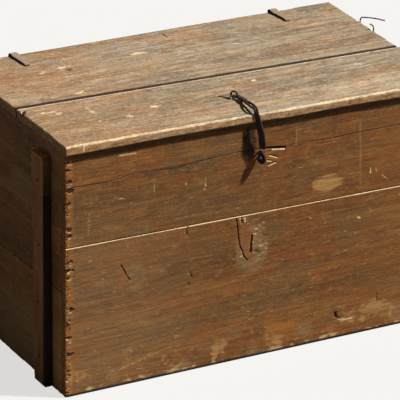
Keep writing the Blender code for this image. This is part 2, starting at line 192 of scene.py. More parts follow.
def corners_of(node):
    """The eight corners of a board of the frame, keyed by the sign on each axis."""
    places = np.array([v.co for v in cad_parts[node].data.vertices])
    low, high = (np.array(c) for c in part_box(node))
    room = 2.6 * MM
    found = {}
    for signs in itertools.product((-1, 1), repeat=3):
        reach = (places - (low + high) / 2) @ np.array(signs)
        near = places[reach > reach.max() - room]
        corner = [near[:, a].max() if s > 0 else near[:, a].min() for a, s in enumerate(signs)]
        found[signs] = Vector(corner)
    return found


def board(node, cells, rounding):
    """A board with the frame's own corners, cut into cells along X, Y and Z, with rounded edges."""
    low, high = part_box(node)
    middle = (low + high) / 2
    piece = primitive(node + "_worn", "cube", high - low, size=1, location=middle)
    bpy.ops.object.mode_set(mode="EDIT")
    for signs, corner in corners_of(node).items():
        towards = Vector(signs)
        start = Vector(m + s * h / 2 for m, s, h in zip(middle, signs, high - low))
        pick(piece, "verts", lambda vert: (vert.co - middle).dot(towards) > 0
             and (vert.co - start).length < 12 * MM)
        bpy.ops.transform.translate(value=corner - start)
    for axis, cell in enumerate(cells):
        split_along(piece, axis, cell)
    bpy.ops.object.mode_set(mode="OBJECT")
    finish_with(piece, "BEVEL", width=rounding, segments=2, limit_method="ANGLE",
                angle_limit=math.radians(50))
    return piece


def refine(piece, near, cuts=1):
    """Makes the mesh finer where near(x, y, z) says so."""
    bpy.ops.object.mode_set(mode="EDIT")
    pick(piece, "faces", lambda face: near(*face.calc_center_median()))
    bpy.ops.mesh.subdivide(number_cuts=cuts)
    bpy.ops.object.mode_set(mode="OBJECT")


def places_of(piece):
    """The places of a piece's vertices, one row for each."""
    flat = np.zeros(len(piece.data.vertices) * 3, np.float32)
    piece.data.vertices.foreach_get("co", flat)
    return flat.reshape(-1, 3).astype(float)


def press(piece, axis, shift):
    """Moves a surface along one axis by the shift given for each vertex, with a Displace modifier."""
    levels = 240
    most = float(np.abs(shift).max())
    if most < 0.01 * MM:
        return
    only(piece)
    for sign in (1, -1):
        share = np.round(np.clip(sign * shift / most, 0, 1) * levels).astype(int)
        if not share.any():
            continue
        group = piece.vertex_groups.new(name="pressed")
        for level in np.unique(share[share > 0]):
            group.add(np.flatnonzero(share == level).tolist(), float(level) / levels, "REPLACE")
        finish_with(piece, "DISPLACE", vertex_group=group.name, direction="XYZ"[axis],
                    mid_level=0, strength=sign * most)
        piece.vertex_groups.clear()


def mark(piece, name, values):
    """Stores how much of a finish each vertex has, for the material to read."""
    kept = piece.data.attributes.new(name, "FLOAT", "POINT")
    kept.data.foreach_set("value", np.clip(values, 0, 1).astype(np.float32))


def lumps(places, sizes, seed):
    """Smooth random values from 0 to 1 at the places, with lumps of that size on each axis."""
    scaled = places / (np.array(sizes) * MM) + seed * 17.31
    cell = np.floor(scaled).astype(np.int64)
    part = scaled - cell
    part = part * part * (3 - 2 * part)
    total = np.zeros(len(places))
    for corner in itertools.product((0, 1), repeat=3):
        at = cell + np.array(corner)
        mixed = (at @ np.array([374761393, 668265263, 1274126177]) + seed * 974711) & 0x7FFFFFFF
        mixed = ((mixed ^ (mixed >> 13)) * 1274126177) & 0x7FFFFFFF
        value = ((mixed ^ (mixed >> 16)) & 0xFFFFFF) / 0xFFFFFF
        share = np.prod(np.where(np.array(corner) == 1, part, 1 - part), axis=1)
        total += value * share
    return total


def step(values, low, high):
    """0 below low, 1 above high and smooth between them; low may be the larger."""
    share = np.clip((values - low) / (high - low), 0, 1)
    return share * share * (3 - 2 * share)


def close_to(gap, full, none):
    """1 where a gap is under full, 0 where it is over none, and smooth between them."""
    return 1 - step(gap, full * MM, none * MM)


def off_line(u, v, line):
    """How far each place (u, v) is from a bent line, in metres."""
    best = np.full(len(u), 1e9)
    for (u0, v0), (u1, v1) in zip(line, line[1:]):
        du, dv = u1 - u0, v1 - v0
        share = np.clip(((u - u0) * du + (v - v0) * dv) / (du * du + dv * dv), 0, 1)
        best = np.minimum(best, np.hypot(u - u0 - share * du, v - v0 - share * dv))
    return best


def near_lines(u, v, lines, reach):
    """Whether one place is within reach of any of the lines."""
    at = np.array([u]), np.array([v])
    return min(off_line(*at, line)[0] for line in lines) < reach * MM


def on_line(u, v, line, half_width):
    """1 on a bent line, fading to 0 around its half width."""
    return close_to(off_line(u, v, line), 0.6 * half_width, 1.6 * half_width)


def in_spot(u, v, centre, radii, ragged=0.0):
    """1 at an oval's centre, fading to 0 at its rim; ragged moves the rim in and out."""
    far = np.hypot((u - centre[0]) / (radii[0] * MM), (v - centre[1]) / (radii[1] * MM)) + ragged
    return 1 - step(far, 0.55, 1.0)


# Materials -----------------------------------------------------------------------------------


def fill(tree, node, inputs):
    """Fills a node's inputs, by name or number or in order, with values or links."""
    pairs = inputs.items() if isinstance(inputs, dict) else enumerate(inputs)
    for key, value in pairs:
        if isinstance(value, bpy.types.NodeSocket):
            tree.links.new(value, node.inputs[key])
        else:
            node.inputs[key].default_value = value


def add(tree, kind, inputs=(), out=0, **settings):
    """Adds a shader node with its settings and inputs, and gives the output that is wanted."""
    node = tree.nodes.new("ShaderNode" + kind)
    for name, value in settings.items():
        setattr(node, name, value)
    fill(tree, node, inputs)
    return node.outputs[out]


def blank(name):
    """A new material with its tree and its Principled shader."""
    made = bpy.data.materials.new(name)
    made.use_nodes = True
    return made, made.node_tree, made.node_tree.nodes["Principled BSDF"]


def noise_fields(tree, patterns, shift=0.0, grain=X):
    """Noise by name: each pattern has its size along the grain and across it, and its detail."""
    place = add(tree, "TexCoord", out="Object")
    fields = {}
    for name, (along, across, detail) in patterns.items():
        scale = [1 / ((along if axis == grain else across) * MM) for axis in (X, Y, Z)]
        turned = add(tree, "Mapping", {"Vector": place, "Scale": scale, "Location": (shift,) * 3})
        fields[name] = add(tree, "TexNoise", {"Vector": turned, "Scale": 1.0, "Detail": detail,
                                              "Roughness": 0.62, "Distortion": 0.6})
    return fields


def with_wear(tree, field, tones, tone, kinds, most):
    """Lays kinds of wear over a tone, each as strong as the piece's attribute of that name says; the
    grime kind also lays painted shade.
    """
    for kind in kinds:
        amount = add(tree, "Attribute", out="Fac", attribute_name=kind)
        spread = {"grime": 0.25, "raw": 0.9, "bare": 0.7}.get(kind, 0.8)
        pushed = amount
        for pattern in ("grit", "fibre"):
            broken = add(tree, "Math", (field[pattern], spread, -0.5 * spread), operation="MULTIPLY_ADD")
            pushed = add(tree, "Math", (pushed, broken), operation="ADD")
        held = add(tree, "MapRange", (pushed, 0.18, 0.82, 0.0, most))
        there = add(tree, "MapRange", (amount, 0.0, 0.12, 0.0, 1.0))
        share = add(tree, "Math", (held, there), operation="MULTIPLY")
        tone = add(tree, "Mix", {0: share, 6: tone, 7: tones[kind]}, 2, data_type="RGBA")
    return tone


def with_grain(tree, field, tones, tone, layers, contrast):
    """Lays patterns over a tone: each has its noise, its start and full values, its tone and share."""
    for pattern, start, full, shade, most in layers:
        share = add(tree, "MapRange", (field[pattern], start, full, 0.0, min(most * contrast, 0.95)),
                    interpolation_type="SMOOTHSTEP")
        tone = add(tree, "Mix", {0: share, 6: tone, 7: tones[shade]}, 2, data_type="RGBA")
    return tone


# Each pattern's size along the grain and across it, and its detail. Pine's own fibres and pores are
# finer than a millimetre and wouldn't show, so fibre, grit and speck are drawn some millimetres wide.
PINE_PATTERNS = {
    "fibre": (52, 2.6, 3.0),
    "band": (260, 9, 3.0),
    "streak": (42, 5.5, 3.0),
    "rings": (900, 60, 1.5),
    "cloud": (150, 70, 4.0),
    "grit": (7, 5, 4.0),
    "speck": (5, 4, 3.0),
    "fleck": (14, 4.2, 2.0),
    "blotch": (34, 17, 4.0),
}
PINE_BROAD = (
    ("cloud", 0.48, 0.60, "cold", 0.80),
    ("cloud", 0.51, 0.39, "warm", 0.80),
    ("rings", 0.52, 0.66, "dark", 0.40),
    ("rings", 0.47, 0.34, "light", 0.35),
    ("blotch", 0.52, 0.66, "dark", 0.45),
    ("blotch", 0.47, 0.34, "light", 0.45),
    ("band", 0.54, 0.68, "dark", 0.35),
    ("band", 0.46, 0.34, "light", 0.40),
)
PINE_NARROW = (
    ("late", 0.2, 1.0, "dark", 0.32),
    ("streak", 0.56, 0.68, "dark", 0.40),
    ("streak", 0.44, 0.33, "light", 0.25),
    ("fibre", 0.54, 0.68, "dark", 0.42),
    ("fibre", 0.46, 0.34, "light", 0.30),
    ("grit", 0.54, 0.68, "dark", 0.45),
    ("grit", 0.45, 0.33, "light", 0.35),
    ("speck", 0.55, 0.68, "dark", 0.35),
    ("speck", 0.45, 0.32, "light", 0.35),
    ("fleck", 0.63, 0.76, "raw", 0.40),
)
PINE_RELIEF = (("fibre", 0.55), ("grit", 0.45), ("band", 0.35), ("late", -0.12))
WALL_TONES = {
    "dark": "38220f", "light": "92622d", "cold": "5e482b", "warm": "713d16", "amber": "8f5820",
    "grey": "826848", "heart": "7c4f2a", "bare": "a67c48",
}
LID_TONES = {
    "dark": "4c3b2b", "light": "b3a085", "cold": "7a6f5e", "warm": "8f6c4a", "raw": "cbb28c",
    "amber": "8f6233", "grey": "8d8271", "heart": "80583b", "bare": "a78355", "grime": "1a110a",
}


def softwood(name, grain, shift, tones, contrast):
    """Sawn pine: drawn-out fibres, bands of late wood, grime in its hollows and bare worn edges.

    tones holds its colours: base, dark, light, cold and warm clouds, raw (bare fibre), amber
    (polished end), grey (weathered), heart (knot wood), bare (rubbed) and grime (in the hollows, and
    painted shade where a piece marks it).
    """
    made, tree, shader = blank(name)
    field = noise_fields(tree, PINE_PATTERNS, shift, grain)
    turns = add(tree, "Math", (field["rings"], 95.0), operation="MULTIPLY")
    wave = add(tree, "Math", (turns,), operation="SINE")
    field["late"] = add(tree, "MapRange", (wave, 0.1, 1.0, 0.0, 1.0))

    tone = add(tree, "RGB")
    tone.default_value = tones["base"]
    tone = with_grain(tree, field, tones, tone, PINE_BROAD, contrast)
    tone = with_wear(tree, field, tones, tone, ("grey", "amber", "heart", "bare"), 0.85)
    tone = with_grain(tree, field, tones, tone, PINE_NARROW, contrast)
    tone = with_wear(tree, field, tones, tone, ("raw", "grime"), 1.0)

    height = 0.0
    for pattern, depth in PINE_RELIEF:
        height = add(tree, "Math", (field[pattern], depth, height), operation="MULTIPLY_ADD")
    bump = add(tree, "Bump", {"Height": height, "Distance": 1.1 * MM, "Strength": 0.7})
    shine = add(tree, "MapRange", (field["cloud"], 0.3, 0.7, 0.72, 0.90))
    fill(tree, shader, {"Base Color": tone, "Roughness": shine, "Normal": bump,
                        "Specular IOR Level": 0.25})
    return made


@functools.cache
def wall_pine(grain, shift, lift=1.0):
    """Old pine of the walls: brown with handling and grime, orange where it has rubbed through; a lift
    above one gives a lighter copy as painted light, one below it a darker copy as painted shade.
    """
    shades = bpy.context.scene.chest_colours
    tones = {kind: linear(code) for kind, code in WALL_TONES.items()}
    tones.update(base=shades.wall, raw=shades.raw)
    for kind, colour in tones.items():
        tones[kind] = [min(1.0, part * lift) for part in colour[:3]] + [1.0]
    # Nearly black: the colour of grime in the hollows, and of painted shade.
    tones["grime"] = linear("150c06")
    name = f"old_brown_pine_{'xyz'[grain]}_{round(shift * 10)}_{round(lift * 100)}"
    return softwood(name, grain, shift, tones, 0.72)


@functools.cache
def lid_pine(shift):
    """Weathered pine of the lid: silvered by light and damp, with tan showing where it is rubbed."""
    tones = {kind: linear(code) for kind, code in LID_TONES.items()}
    tones["base"] = list(bpy.context.scene.chest_colours.lid)
    return softwood(f"weathered_pine_{round(shift * 10)}", X, shift, tones, 1.0)


@functools.cache
def rusty_iron():
    """Forged wire and nails: a dark, dull skin of scale with brown rust blooming through it."""
    made, tree, shader = blank("rusty_wrought_iron")
    shades = bpy.context.scene.chest_colours
    field = noise_fields(tree, {"bloom": (9, 9, 4.0), "grain": (1.3, 1.3, 3.0), "pits": (2.6, 2.6, 2.0)})
    bloom = add(tree, "MapRange", (field["bloom"], 0.44, 0.62, 0.0, 0.9))
    tone = add(tree, "Mix", {0: bloom, 6: list(shades.iron), 7: list(shades.rust)}, 2, data_type="RGBA")
    flecks = add(tree, "MapRange", (field["grain"], 0.5, 0.7, 0.0, 0.6))
    tone = add(tree, "Mix", {0: flecks, 6: tone, 7: linear("4a2c19")}, 2, data_type="RGBA")
    dull = add(tree, "MapRange", (field["bloom"], 0.35, 0.6, 0.55, 0.9))
    height = add(tree, "Math", (field["grain"], field["pits"]), operation="ADD")
    bump = add(tree, "Bump", {"Height": height, "Distance": 0.5 * MM, "Strength": 0.8})
    fill(tree, shader, {"Base Color": tone, "Roughness": dull, "Normal": bump, "Metallic": 0.15})
    return made


@functools.cache
def dusty_iron():
    """Strap iron: the same dark scale, with grey-tan dust and dried paint lying on its top."""
    made, tree, shader = blank("dusty_strap_iron")
    field = noise_fields(tree, {"patch": (14, 14, 4.0), "grain": (1.6, 1.6, 3.0)})
    dust = add(tree, "Attribute", out="Fac", attribute_name="dust")
    ragged = add(tree, "Math", (field["patch"], 0.9, -0.45), operation="MULTIPLY_ADD")
    pushed = add(tree, "Math", (dust, ragged), operation="ADD")
    share = add(tree, "MapRange", (pushed, 0.3, 0.8, 0.0, 0.92))
    scale = add(tree, "MapRange", (field["grain"], 0.35, 0.65, 0.0, 1.0))
    iron = list(bpy.context.scene.chest_colours.iron)
    under = add(tree, "Mix", {0: scale, 6: iron, 7: linear("4a3220")}, 2, data_type="RGBA")
    over = add(tree, "Mix", {0: scale, 6: linear("75644f"), 7: linear("93806a")}, 2, data_type="RGBA")
    tone = add(tree, "Mix", {0: share, 6: under, 7: over}, 2, data_type="RGBA")
    bump = add(tree, "Bump", {"Height": field["grain"], "Distance": 0.4 * MM, "Strength": 0.8})
    fill(tree, shader, {"Base Color": tone, "Normal": bump, "Roughness": 0.8, "Metallic": 0.1})
    return made


# Wood pieces ---------------------------------------------------------------------------------

# Kinds of wear kept on each board. Grime also carries painted shade: the left battens' fronts, the band
# under the lid and the hasp's shadow.
WEAR_KINDS = ("amber", "grey", "heart", "bare", "raw", "grime")


def lid_sag(x, y):
    """How far the lid's front edge has bowed down, with the tops of the walls worn to match."""
    amount = 3 * MM + 6.5 * MM * step(x, LID_LEFT, 0.30)
    return amount * (1 - step(y, LID_FRONT + 12 * MM, LID_FRONT + 75 * MM))


def follow_lid(piece):
    """Lowers a piece's top with the lid's front edge; what is well below it stays."""
    x, y, z = places_of(piece).T
    press(piece, Z, -lid_sag(x, y) * step(z, WALL_TOP - 55 * MM, WALL_TOP - 20 * MM))


def coarse(cell):
    """A cell size, as it is given."""
    return cell * 1.0


def no_wear(places):
    """An empty wear table for a piece's vertices."""
    return {kind: np.zeros(len(places)) for kind in WEAR_KINDS}


def lay(wear, kind, amount):
    """Adds a kind of wear where it is stronger than what is there."""
    wear[kind] = np.maximum(wear[kind], amount)


def draw(wear, u, v, face, rows, weave=1.0):
    """Lays lines of wear on a face and returns how deep they cut.

    Each row is the kind, the line, its half width, its strength and its depth.
    """
    deep = 0
    for kind, line, half_width, strength, depth in rows:
        cut = on_line(u, v, line, half_width) * weave
        lay(wear, kind, face * cut * strength)
        deep = deep + depth * MM * cut
    return deep


def dab(wear, u, v, face, rows, lump):
    """Lays spots of wear: each row is the kind, centre, radii, strength and raggedness."""
    for kind, centre, radii, strength, ragged in rows:
        lay(wear, kind, face * strength * in_spot(u, v, centre, radii, ragged * (lump - 0.5)))


def deliver(piece, node, body, slot, finish, wear):
    """Stores the wear, shades the piece, gives it its finish and hangs it on the frame."""
    for kind, amount in wear.items():
        mark(piece, kind, amount)
    only(piece)
    smooth_under(60)
    fit(piece, body, slot, finish, node)


def edge_gap(places, node, axis, side):
    """Distance of each vertex from one edge of a board, measured along an axis on a straight line."""
    corners = [c for signs, c in corners_of(node).items() if signs[axis] == side]
    long_axis = max((a for a in range(3) if a != axis),
                    key=lambda a: max(c[a] for c in corners) - min(c[a] for c in corners))
    low = min(corners, key=lambda c: c[long_axis])
    high = max(corners, key=lambda c: c[long_axis])
    share = (places[:, long_axis] - low[long_axis]) / (high[long_axis] - low[long_axis])
    return side * (low[axis] + share * (high[axis] - low[axis]) - places[:, axis])


LONG_CRACK = (
    (-0.416, 0.428), (-0.397, 0.4285), (-0.328, 0.4266), (-0.272, 0.4337), (-0.190, 0.4285),
    (-0.137, 0.4330), (-0.084, 0.4360), (-0.045, 0.4366), (0.003, 0.4345), (0.0500, 0.4290),
    (0.0816, 0.4337), (0.1167, 0.4305), (0.1489, 0.4287), (0.2033, 0.4303), (0.3068, 0.4303),
    (0.360, 0.4318), (0.416, 0.4312),
)
SLOT = ((0.0030, 0.4350), (0.0290, 0.4320), (0.0510, 0.4285))
SLOT_LIP = ((0.0225, 0.4285), (0.0495, 0.4250))
STAPLE_STAIN = ((0.0100, 0.4260), (0.0190, 0.4175), (0.0215, 0.4110))
STAPLE_CHIPS = (
    ((0.0170, 0.4170), (0.0335, 0.4098)),
    ((0.0120, 0.4068), (0.0215, 0.4045)),
    ((0.0150, 0.3962), (0.0310, 0.4005)),
)
UPPER_LINES = (
    ("amber", STAPLE_STAIN, 2.6, 0.85, 0),
    ("raw", SLOT_LIP, 1.1, 1.3, 0),
    ("grey", ((0.0767, 0.4680), (0.0760, 0.4450), (0.0750, 0.4290)), 1.7, 0.9, 0),
    ("bare", ((0.2172, 0.452), (0.2205, 0.385), (0.2225, 0.3130)), 2.6, 0.42, 0),
    ("raw", ((0.2443, 0.350), (0.2449, 0.340)), 1.5, 0.8, 0),
    ("raw", ((0.2570, 0.349), (0.2575, 0.341)), 1.2, 0.7, 0),
    ("raw", ((0.2720, 0.330), (0.2850, 0.319)), 0.9, 0.6, 0),
    ("raw", ((-0.1195, 0.408), (-0.1200, 0.385), (-0.1237, 0.374)), 0.9, 0.8, 0),
    ("raw", ((-0.2310, 0.410), (-0.2307, 0.388)), 1.6, 0.35, 0),
    ("raw", ((-0.3665, 0.370), (-0.3682, 0.328)), 1.8, 0.28, 0),
    ("raw", ((-0.3160, 0.3915), (-0.2925, 0.3862)), 1.1, 0.45, 0),
    ("raw", ((-0.1635, 0.394), (-0.1635, 0.390)), 1.0, 0.7, 0),
    ("raw", ((-0.3044, 0.4790), (-0.2684, 0.4770)), 1.1, 0.9, 0),
)
UPPER_SPOTS = (
    ("amber", (0.016, 0.418), (15, 12), 0.8, 1.0),
    ("grime", (0.0751, 0.4235), (4, 4.5), 0.45, 0),
    # Painted shadow of the hasp on the front board: a tall dark oval around and left of the hanging loop.
    ("grime", (-0.0265, 0.457), (21, 52), 0.72, 0.5),
)
NOTCHES = (0.483, 0.467, 0.441, 0.423, 0.397, 0.345, 0.333, 0.278, 0.262, 0.248, 0.182, 0.124,
           0.089, 0.045)
KNOT_LEFT = ((-0.0521, 0.3000), (-0.0496, 0.2819), (-0.0467, 0.2588), (-0.0428, 0.2394),
             (-0.0384, 0.2313), (-0.0340, 0.2180), (-0.0270, 0.2090))
KNOT_RIGHT = ((-0.0168, 0.2585), (-0.0184, 0.2427), (-0.0188, 0.2307), (-0.0200, 0.2243))
KNOT_WEDGE = ((-0.0360, 0.2950), (-0.0310, 0.2600), (-0.0250, 0.2300), (-0.0215, 0.2150))
SMALL_KNOT_CRACK = ((-0.2995, 0.2522), (-0.2908, 0.2357), (-0.2867, 0.2270), (-0.2805, 0.2179))
SMALL_KNOT_HEART = ((-0.3040, 0.2480), (-0.2960, 0.2280), (-0.2886, 0.2057))
LOWER_CUTS = (
    ("grime", KNOT_LEFT, 1.1, 0.95, 2.0),
    ("grime", KNOT_RIGHT, 1.7, 1.0, 3.0),
    ("grime", SMALL_KNOT_CRACK, 1.1, 0.9, 1.6),
    ("grime", ((-0.0405, 0.2990), (-0.0390, 0.2900)), 2.0, 1.0, 3.0),
    ("grime", ((-0.1584, 0.3062), (-0.1592, 0.2960), (-0.1618, 0.2880)), 1.3, 0.9, 2.0),
    ("grime", ((-0.1513, 0.2090), (-0.1470, 0.1968)), 1.3, 0.95, 1.5),
    ("grime", ((-0.1542, 0.1862), (-0.1535, 0.1822)), 1.4, 0.95, 1.5),
    ("grime", ((-0.0151, 0.1035), (-0.0159, 0.0860)), 1.0, 0.8, 1.2),
    ("grime", ((0.1755, 0.0560), (0.1763, 0.0480)), 2.0, 1.0, 2.5),
    ("grime", ((0.1763, 0.0480), (0.1860, 0.0420)), 1.3, 0.9, 1.5),
    ("grime", ((0.2705, 0.0785), (0.2697, 0.0614)), 1.1, 0.75, 1.2),
    ("grime", ((-0.3380, 0.1700), (-0.3050, 0.1690)), 0.7, 0.35, 0.5),
)
LOWER_LINES = (
    ("raw", ((-0.0445, 0.2990), (-0.0345, 0.2985), (-0.0340, 0.2900)), 1.2, 0.9, 0),
    ("raw", ((0.1823, 0.0385), (0.2131, 0.0377)), 1.1, 1.1, 0),
    ("raw", ((0.2660, 0.0700), (0.2655, 0.0560)), 1.0, 0.7, 0),
    ("raw", ((0.2195, 0.2512), (0.2240, 0.2498)), 1.4, 0.9, 0),
    ("raw", ((0.1105, 0.2708), (0.1120, 0.2705)), 1.3, 0.8, 0),
    ("raw", ((-0.0190, 0.0820), (-0.0100, 0.0815)), 1.0, 0.5, 0),
)
LOWER_SPOTS = (
    ("amber", (0.055, 0.043), (58, 24), 0.8, 0.9),
    ("bare", (0.265, 0.050), (40, 22), 0.7, 0.8),
)
SMEAR_LINE = ((-0.300, 0.036), (-0.245, 0.050), (-0.190, 0.060))


def chewed_ends(places, wear, outer, gaps, lump, fine):
    """Broken, orange end grain with dark notches along both ends; returns how deep it goes."""
    z = places[:, Z]
    rough = np.zeros(len(z))
    for gap in gaps:
        strip = close_to(gap + 9 * MM * (lump - 0.5), 13, 20)
        lay(wear, "amber", outer * strip * (0.25 + 0.85 * lump))
        lay(wear, "raw", outer * close_to(gap, 2, 17) * step(fine + 0.3 * lump, 0.80, 0.98))
        rough = np.maximum(rough, close_to(gap, 0, 7) * step(lump * 0.6 + fine * 0.5, 0.45, 0.85))
    into = 2.2 * MM * rough
    jagged = 1.5 * (lump - 0.5) + 1.2 * (fine - 0.5)
    for height in NOTCHES:
        size = (height * 7300) % 1
        for gap, level in zip(gaps, (height, WALL_TOP - height)):
            bite = in_spot(gap, z, ((3 + 8 * size) * MM, level), (6 + 7 * size, 2.6 + 2.6 * size), jagged)
            chip = in_spot(gap, z, (9 * MM, level - 5.5 * MM), (6, 2.4), jagged)
            lay(wear, "grime", outer * bite * 0.75)
            lay(wear, "raw", outer * 0.30 * chip)
            into += 1.4 * MM * bite * outer
    crumbs = step(lumps(places, (6, 6, 3.4), 6), 0.68, 0.84)
    lay(wear, "grime", outer * crumbs * close_to(np.minimum(*gaps), 6, 17) * 0.8)
    return into


def mark_upper(places, wear, outer, gaps, noises):
    """The long crack, the slot and chips at the hasp, a rubbed patch, the seam, and painted shade (the
    hasp's shadow and a band under the lid); returns the depth.
    """
    x, y, z = places.T
    above, below = gaps
    lump, fine, long_lump = noises
    faded = 0.55 + 0.45 * step(lumps(places, (60, 60, 60), 11), 0.25, 0.6)
    into = draw(wear, x, z, outer, [("grime", LONG_CRACK, 0.75, 0.8, 0.9)], faded)
    slot_ends = step(x, 0.001, 0.004) * step(x, 0.053, 0.050)
    into += draw(wear, x, z, outer, [("grime", SLOT, 1.75, 1.0, 5.0)], slot_ends)
    into += draw(wear, x, z, outer, UPPER_LINES)
    for chip in STAPLE_CHIPS:
        shade = [(u + 0.5 * MM, v + 2.1 * MM) for u, v in chip]
        rows = [("raw", chip, 0.8, 0.85, 0), ("grime", shade, 0.8, 0.9, 1.6)]
        into += draw(wear, x, z, outer, rows)
    dab(wear, x, z, outer, UPPER_SPOTS, lump)
    patch = in_spot(x, z, (0.149, 0.336), (42, 25), 0.55 * (long_lump - 0.5))
    patch *= 1 - 0.5 * step(x, 0.160, 0.195)
    patch *= 0.35 + 0.75 * step(lumps(places, (50, 20, 2.2), 14), 0.25, 0.6)
    lay(wear, "bare", outer * patch)
    seam_dark = 0.25 + 0.6 * long_lump + 0.5 * step(x, 0.10, 0.13) * step(x, 0.26, 0.23)
    lay(wear, "grime", outer * close_to(below, 0.7, 2.1) * seam_dark)
    # Painted shade: a darker band along the board's top, under the lid's overhang.
    lay(wear, "grime", outer * 0.45 * close_to(above, 12, 19))
    return into + 0.8 * MM * close_to(below, 0, 2.5)


def mark_lower(places, wear, outer, gaps, noises):
    """The two knots, cuts, mud at the foot and the pale rim at the seam; returns the depth."""
    x, y, z = places.T
    above, below = gaps
    lump, fine, long_lump = noises
    wedge = on_line(x, z, KNOT_WEDGE, 8.5) * step(x, -0.050, -0.044) * step(x, -0.012, -0.020)
    lay(wear, "heart", outer * wedge * 1.1)
    weave = lumps(places, (8, 6, 2.4), 13)
    halo = in_spot(x, z, (-0.016, 0.236), (46, 72), 0.35 * (lump - 0.5)) * (0.45 + 0.6 * weave)
    lay(wear, "grey", outer * halo * (1 - 0.95 * wedge) * 0.9)
    ripple = in_spot(x, z, (0.002, 0.246), (24, 48), 0.3 * (lump - 0.5))
    ripple = np.maximum(ripple, 0.6 * in_spot(x, z, (-0.044, 0.215), (22, 38))) * (1 - wedge)
    lay(wear, "grime", outer * ripple * 0.8 * step(weave, 0.60, 0.82))
    lay(wear, "raw", outer * ripple * 0.65 * step(weave, 0.38, 0.20))
    into = 2.0 * MM * ripple * (weave - 0.4)
    into += draw(wear, x, z, outer, LOWER_CUTS, 0.45 + 0.8 * fine)
    into += draw(wear, x, z, outer, LOWER_LINES)
    small = on_line(x, z, SMALL_KNOT_HEART, 6.5)
    lay(wear, "heart", outer * 0.7 * small)
    spot = in_spot(x, z, (-0.272, 0.222), (40, 46), 0.4 * (lump - 0.5))
    lay(wear, "grey", outer * 0.6 * spot * (1 - small))
    into += 0.8 * MM * spot * (fine - 0.5)

    foot = close_to(z, 20, 95)
    smear = lumps(places, (38, 20, 22), 17)
    drag = lumps(places, (16, 20, 34), 19)
    lay(wear, "grey", outer * foot * step(smear, 0.40, 0.75) * 0.75)
    lay(wear, "bare", outer * foot * step(drag * 0.7 + lump * 0.45, 0.60, 0.86) * 0.85)
    dab(wear, x, z, outer, LOWER_SPOTS, lump)
    draw(wear, x, z, outer, [("bare", SMEAR_LINE, 2.5, 0.8, 0)], step(fine, 0.2, 0.6))
    lay(wear, "raw", outer * close_to(above, 0.5, 1.7) * (0.40 + 0.9 * long_lump))
    low_rim = close_to(below, 8, 16) * step(below, 3 * MM, 7 * MM)
    lay(wear, "raw", outer * low_rim * 0.5 * step(drag * 0.6 + lump * 0.5, 0.45, 0.75))
    lay(wear, "grime", outer * close_to(below, 3, 8.5) * 0.85)
    return into + 1.0 * MM * close_to(below, 0, 9) ** 1.5


def front_board(sizes, level):
    """One of the two front boards, with its own marks."""
    node = f"front_board_{level}"
    cell = coarse(sizes.cell)
    piece = board(node, (cell, 5 * MM, cell * 0.9), sizes.rounding)
    fine_lines, mark_face, shift = {
        "upper": ((LONG_CRACK, SLOT, SLOT_LIP, STAPLE_STAIN, *STAPLE_CHIPS), mark_upper, 0.0),
        "lower": ((KNOT_LEFT, KNOT_RIGHT, SMALL_KNOT_CRACK), mark_lower, 3.7),
    }[level]

    def near(x, y, z):
        on_face = y <= FRONT + 4 * MM
        return on_face and (x < LEFT + 22 * MM or near_lines(x, z, fine_lines, 5))

    refine(piece, near, 2)
    places = places_of(piece)
    x, y, z = places.T
    wear = no_wear(places)
    outer = close_to(y - FRONT, 1.5, 5)
    left, right = x - LEFT, RIGHT - x
    lump = lumps(places, (7, 6, 5), 3)
    fine = lumps(places, (2.5, 4, 2.2), 5)
    long_lump = lumps(places, (45, 20, 9), 7)

    into = 0.35 * MM * (long_lump - 0.5) + 0.20 * MM * (fine - 0.5)
    into += chewed_ends(places, wear, outer, (left, right), lump, fine)
    lay(wear, "grey", outer * 0.42 * step(x, 0.02, -0.30) * step(z, 0.45, 0.25))
    lay(wear, "amber", outer * 0.36 * step(x, 0.08, 0.36))
    gaps = [edge_gap(places, node, Z, side) for side in (1, -1)]
    into += mark_face(places, wear, outer, gaps, (lump, fine, long_lump))
    press(piece, Y, np.clip(into * outer, 0, 6 * MM))

    ragged_end = 1.6 * MM * step(lump * 0.6 + fine * 0.5, 0.35, 0.85)
    press(piece, X, (close_to(left, 0, 6) - close_to(right, 0, 6)) * ragged_end)
    follow_lid(piece)
    deliver(piece, node, "box", "wall_wood", wall_pine(X, shift), wear)


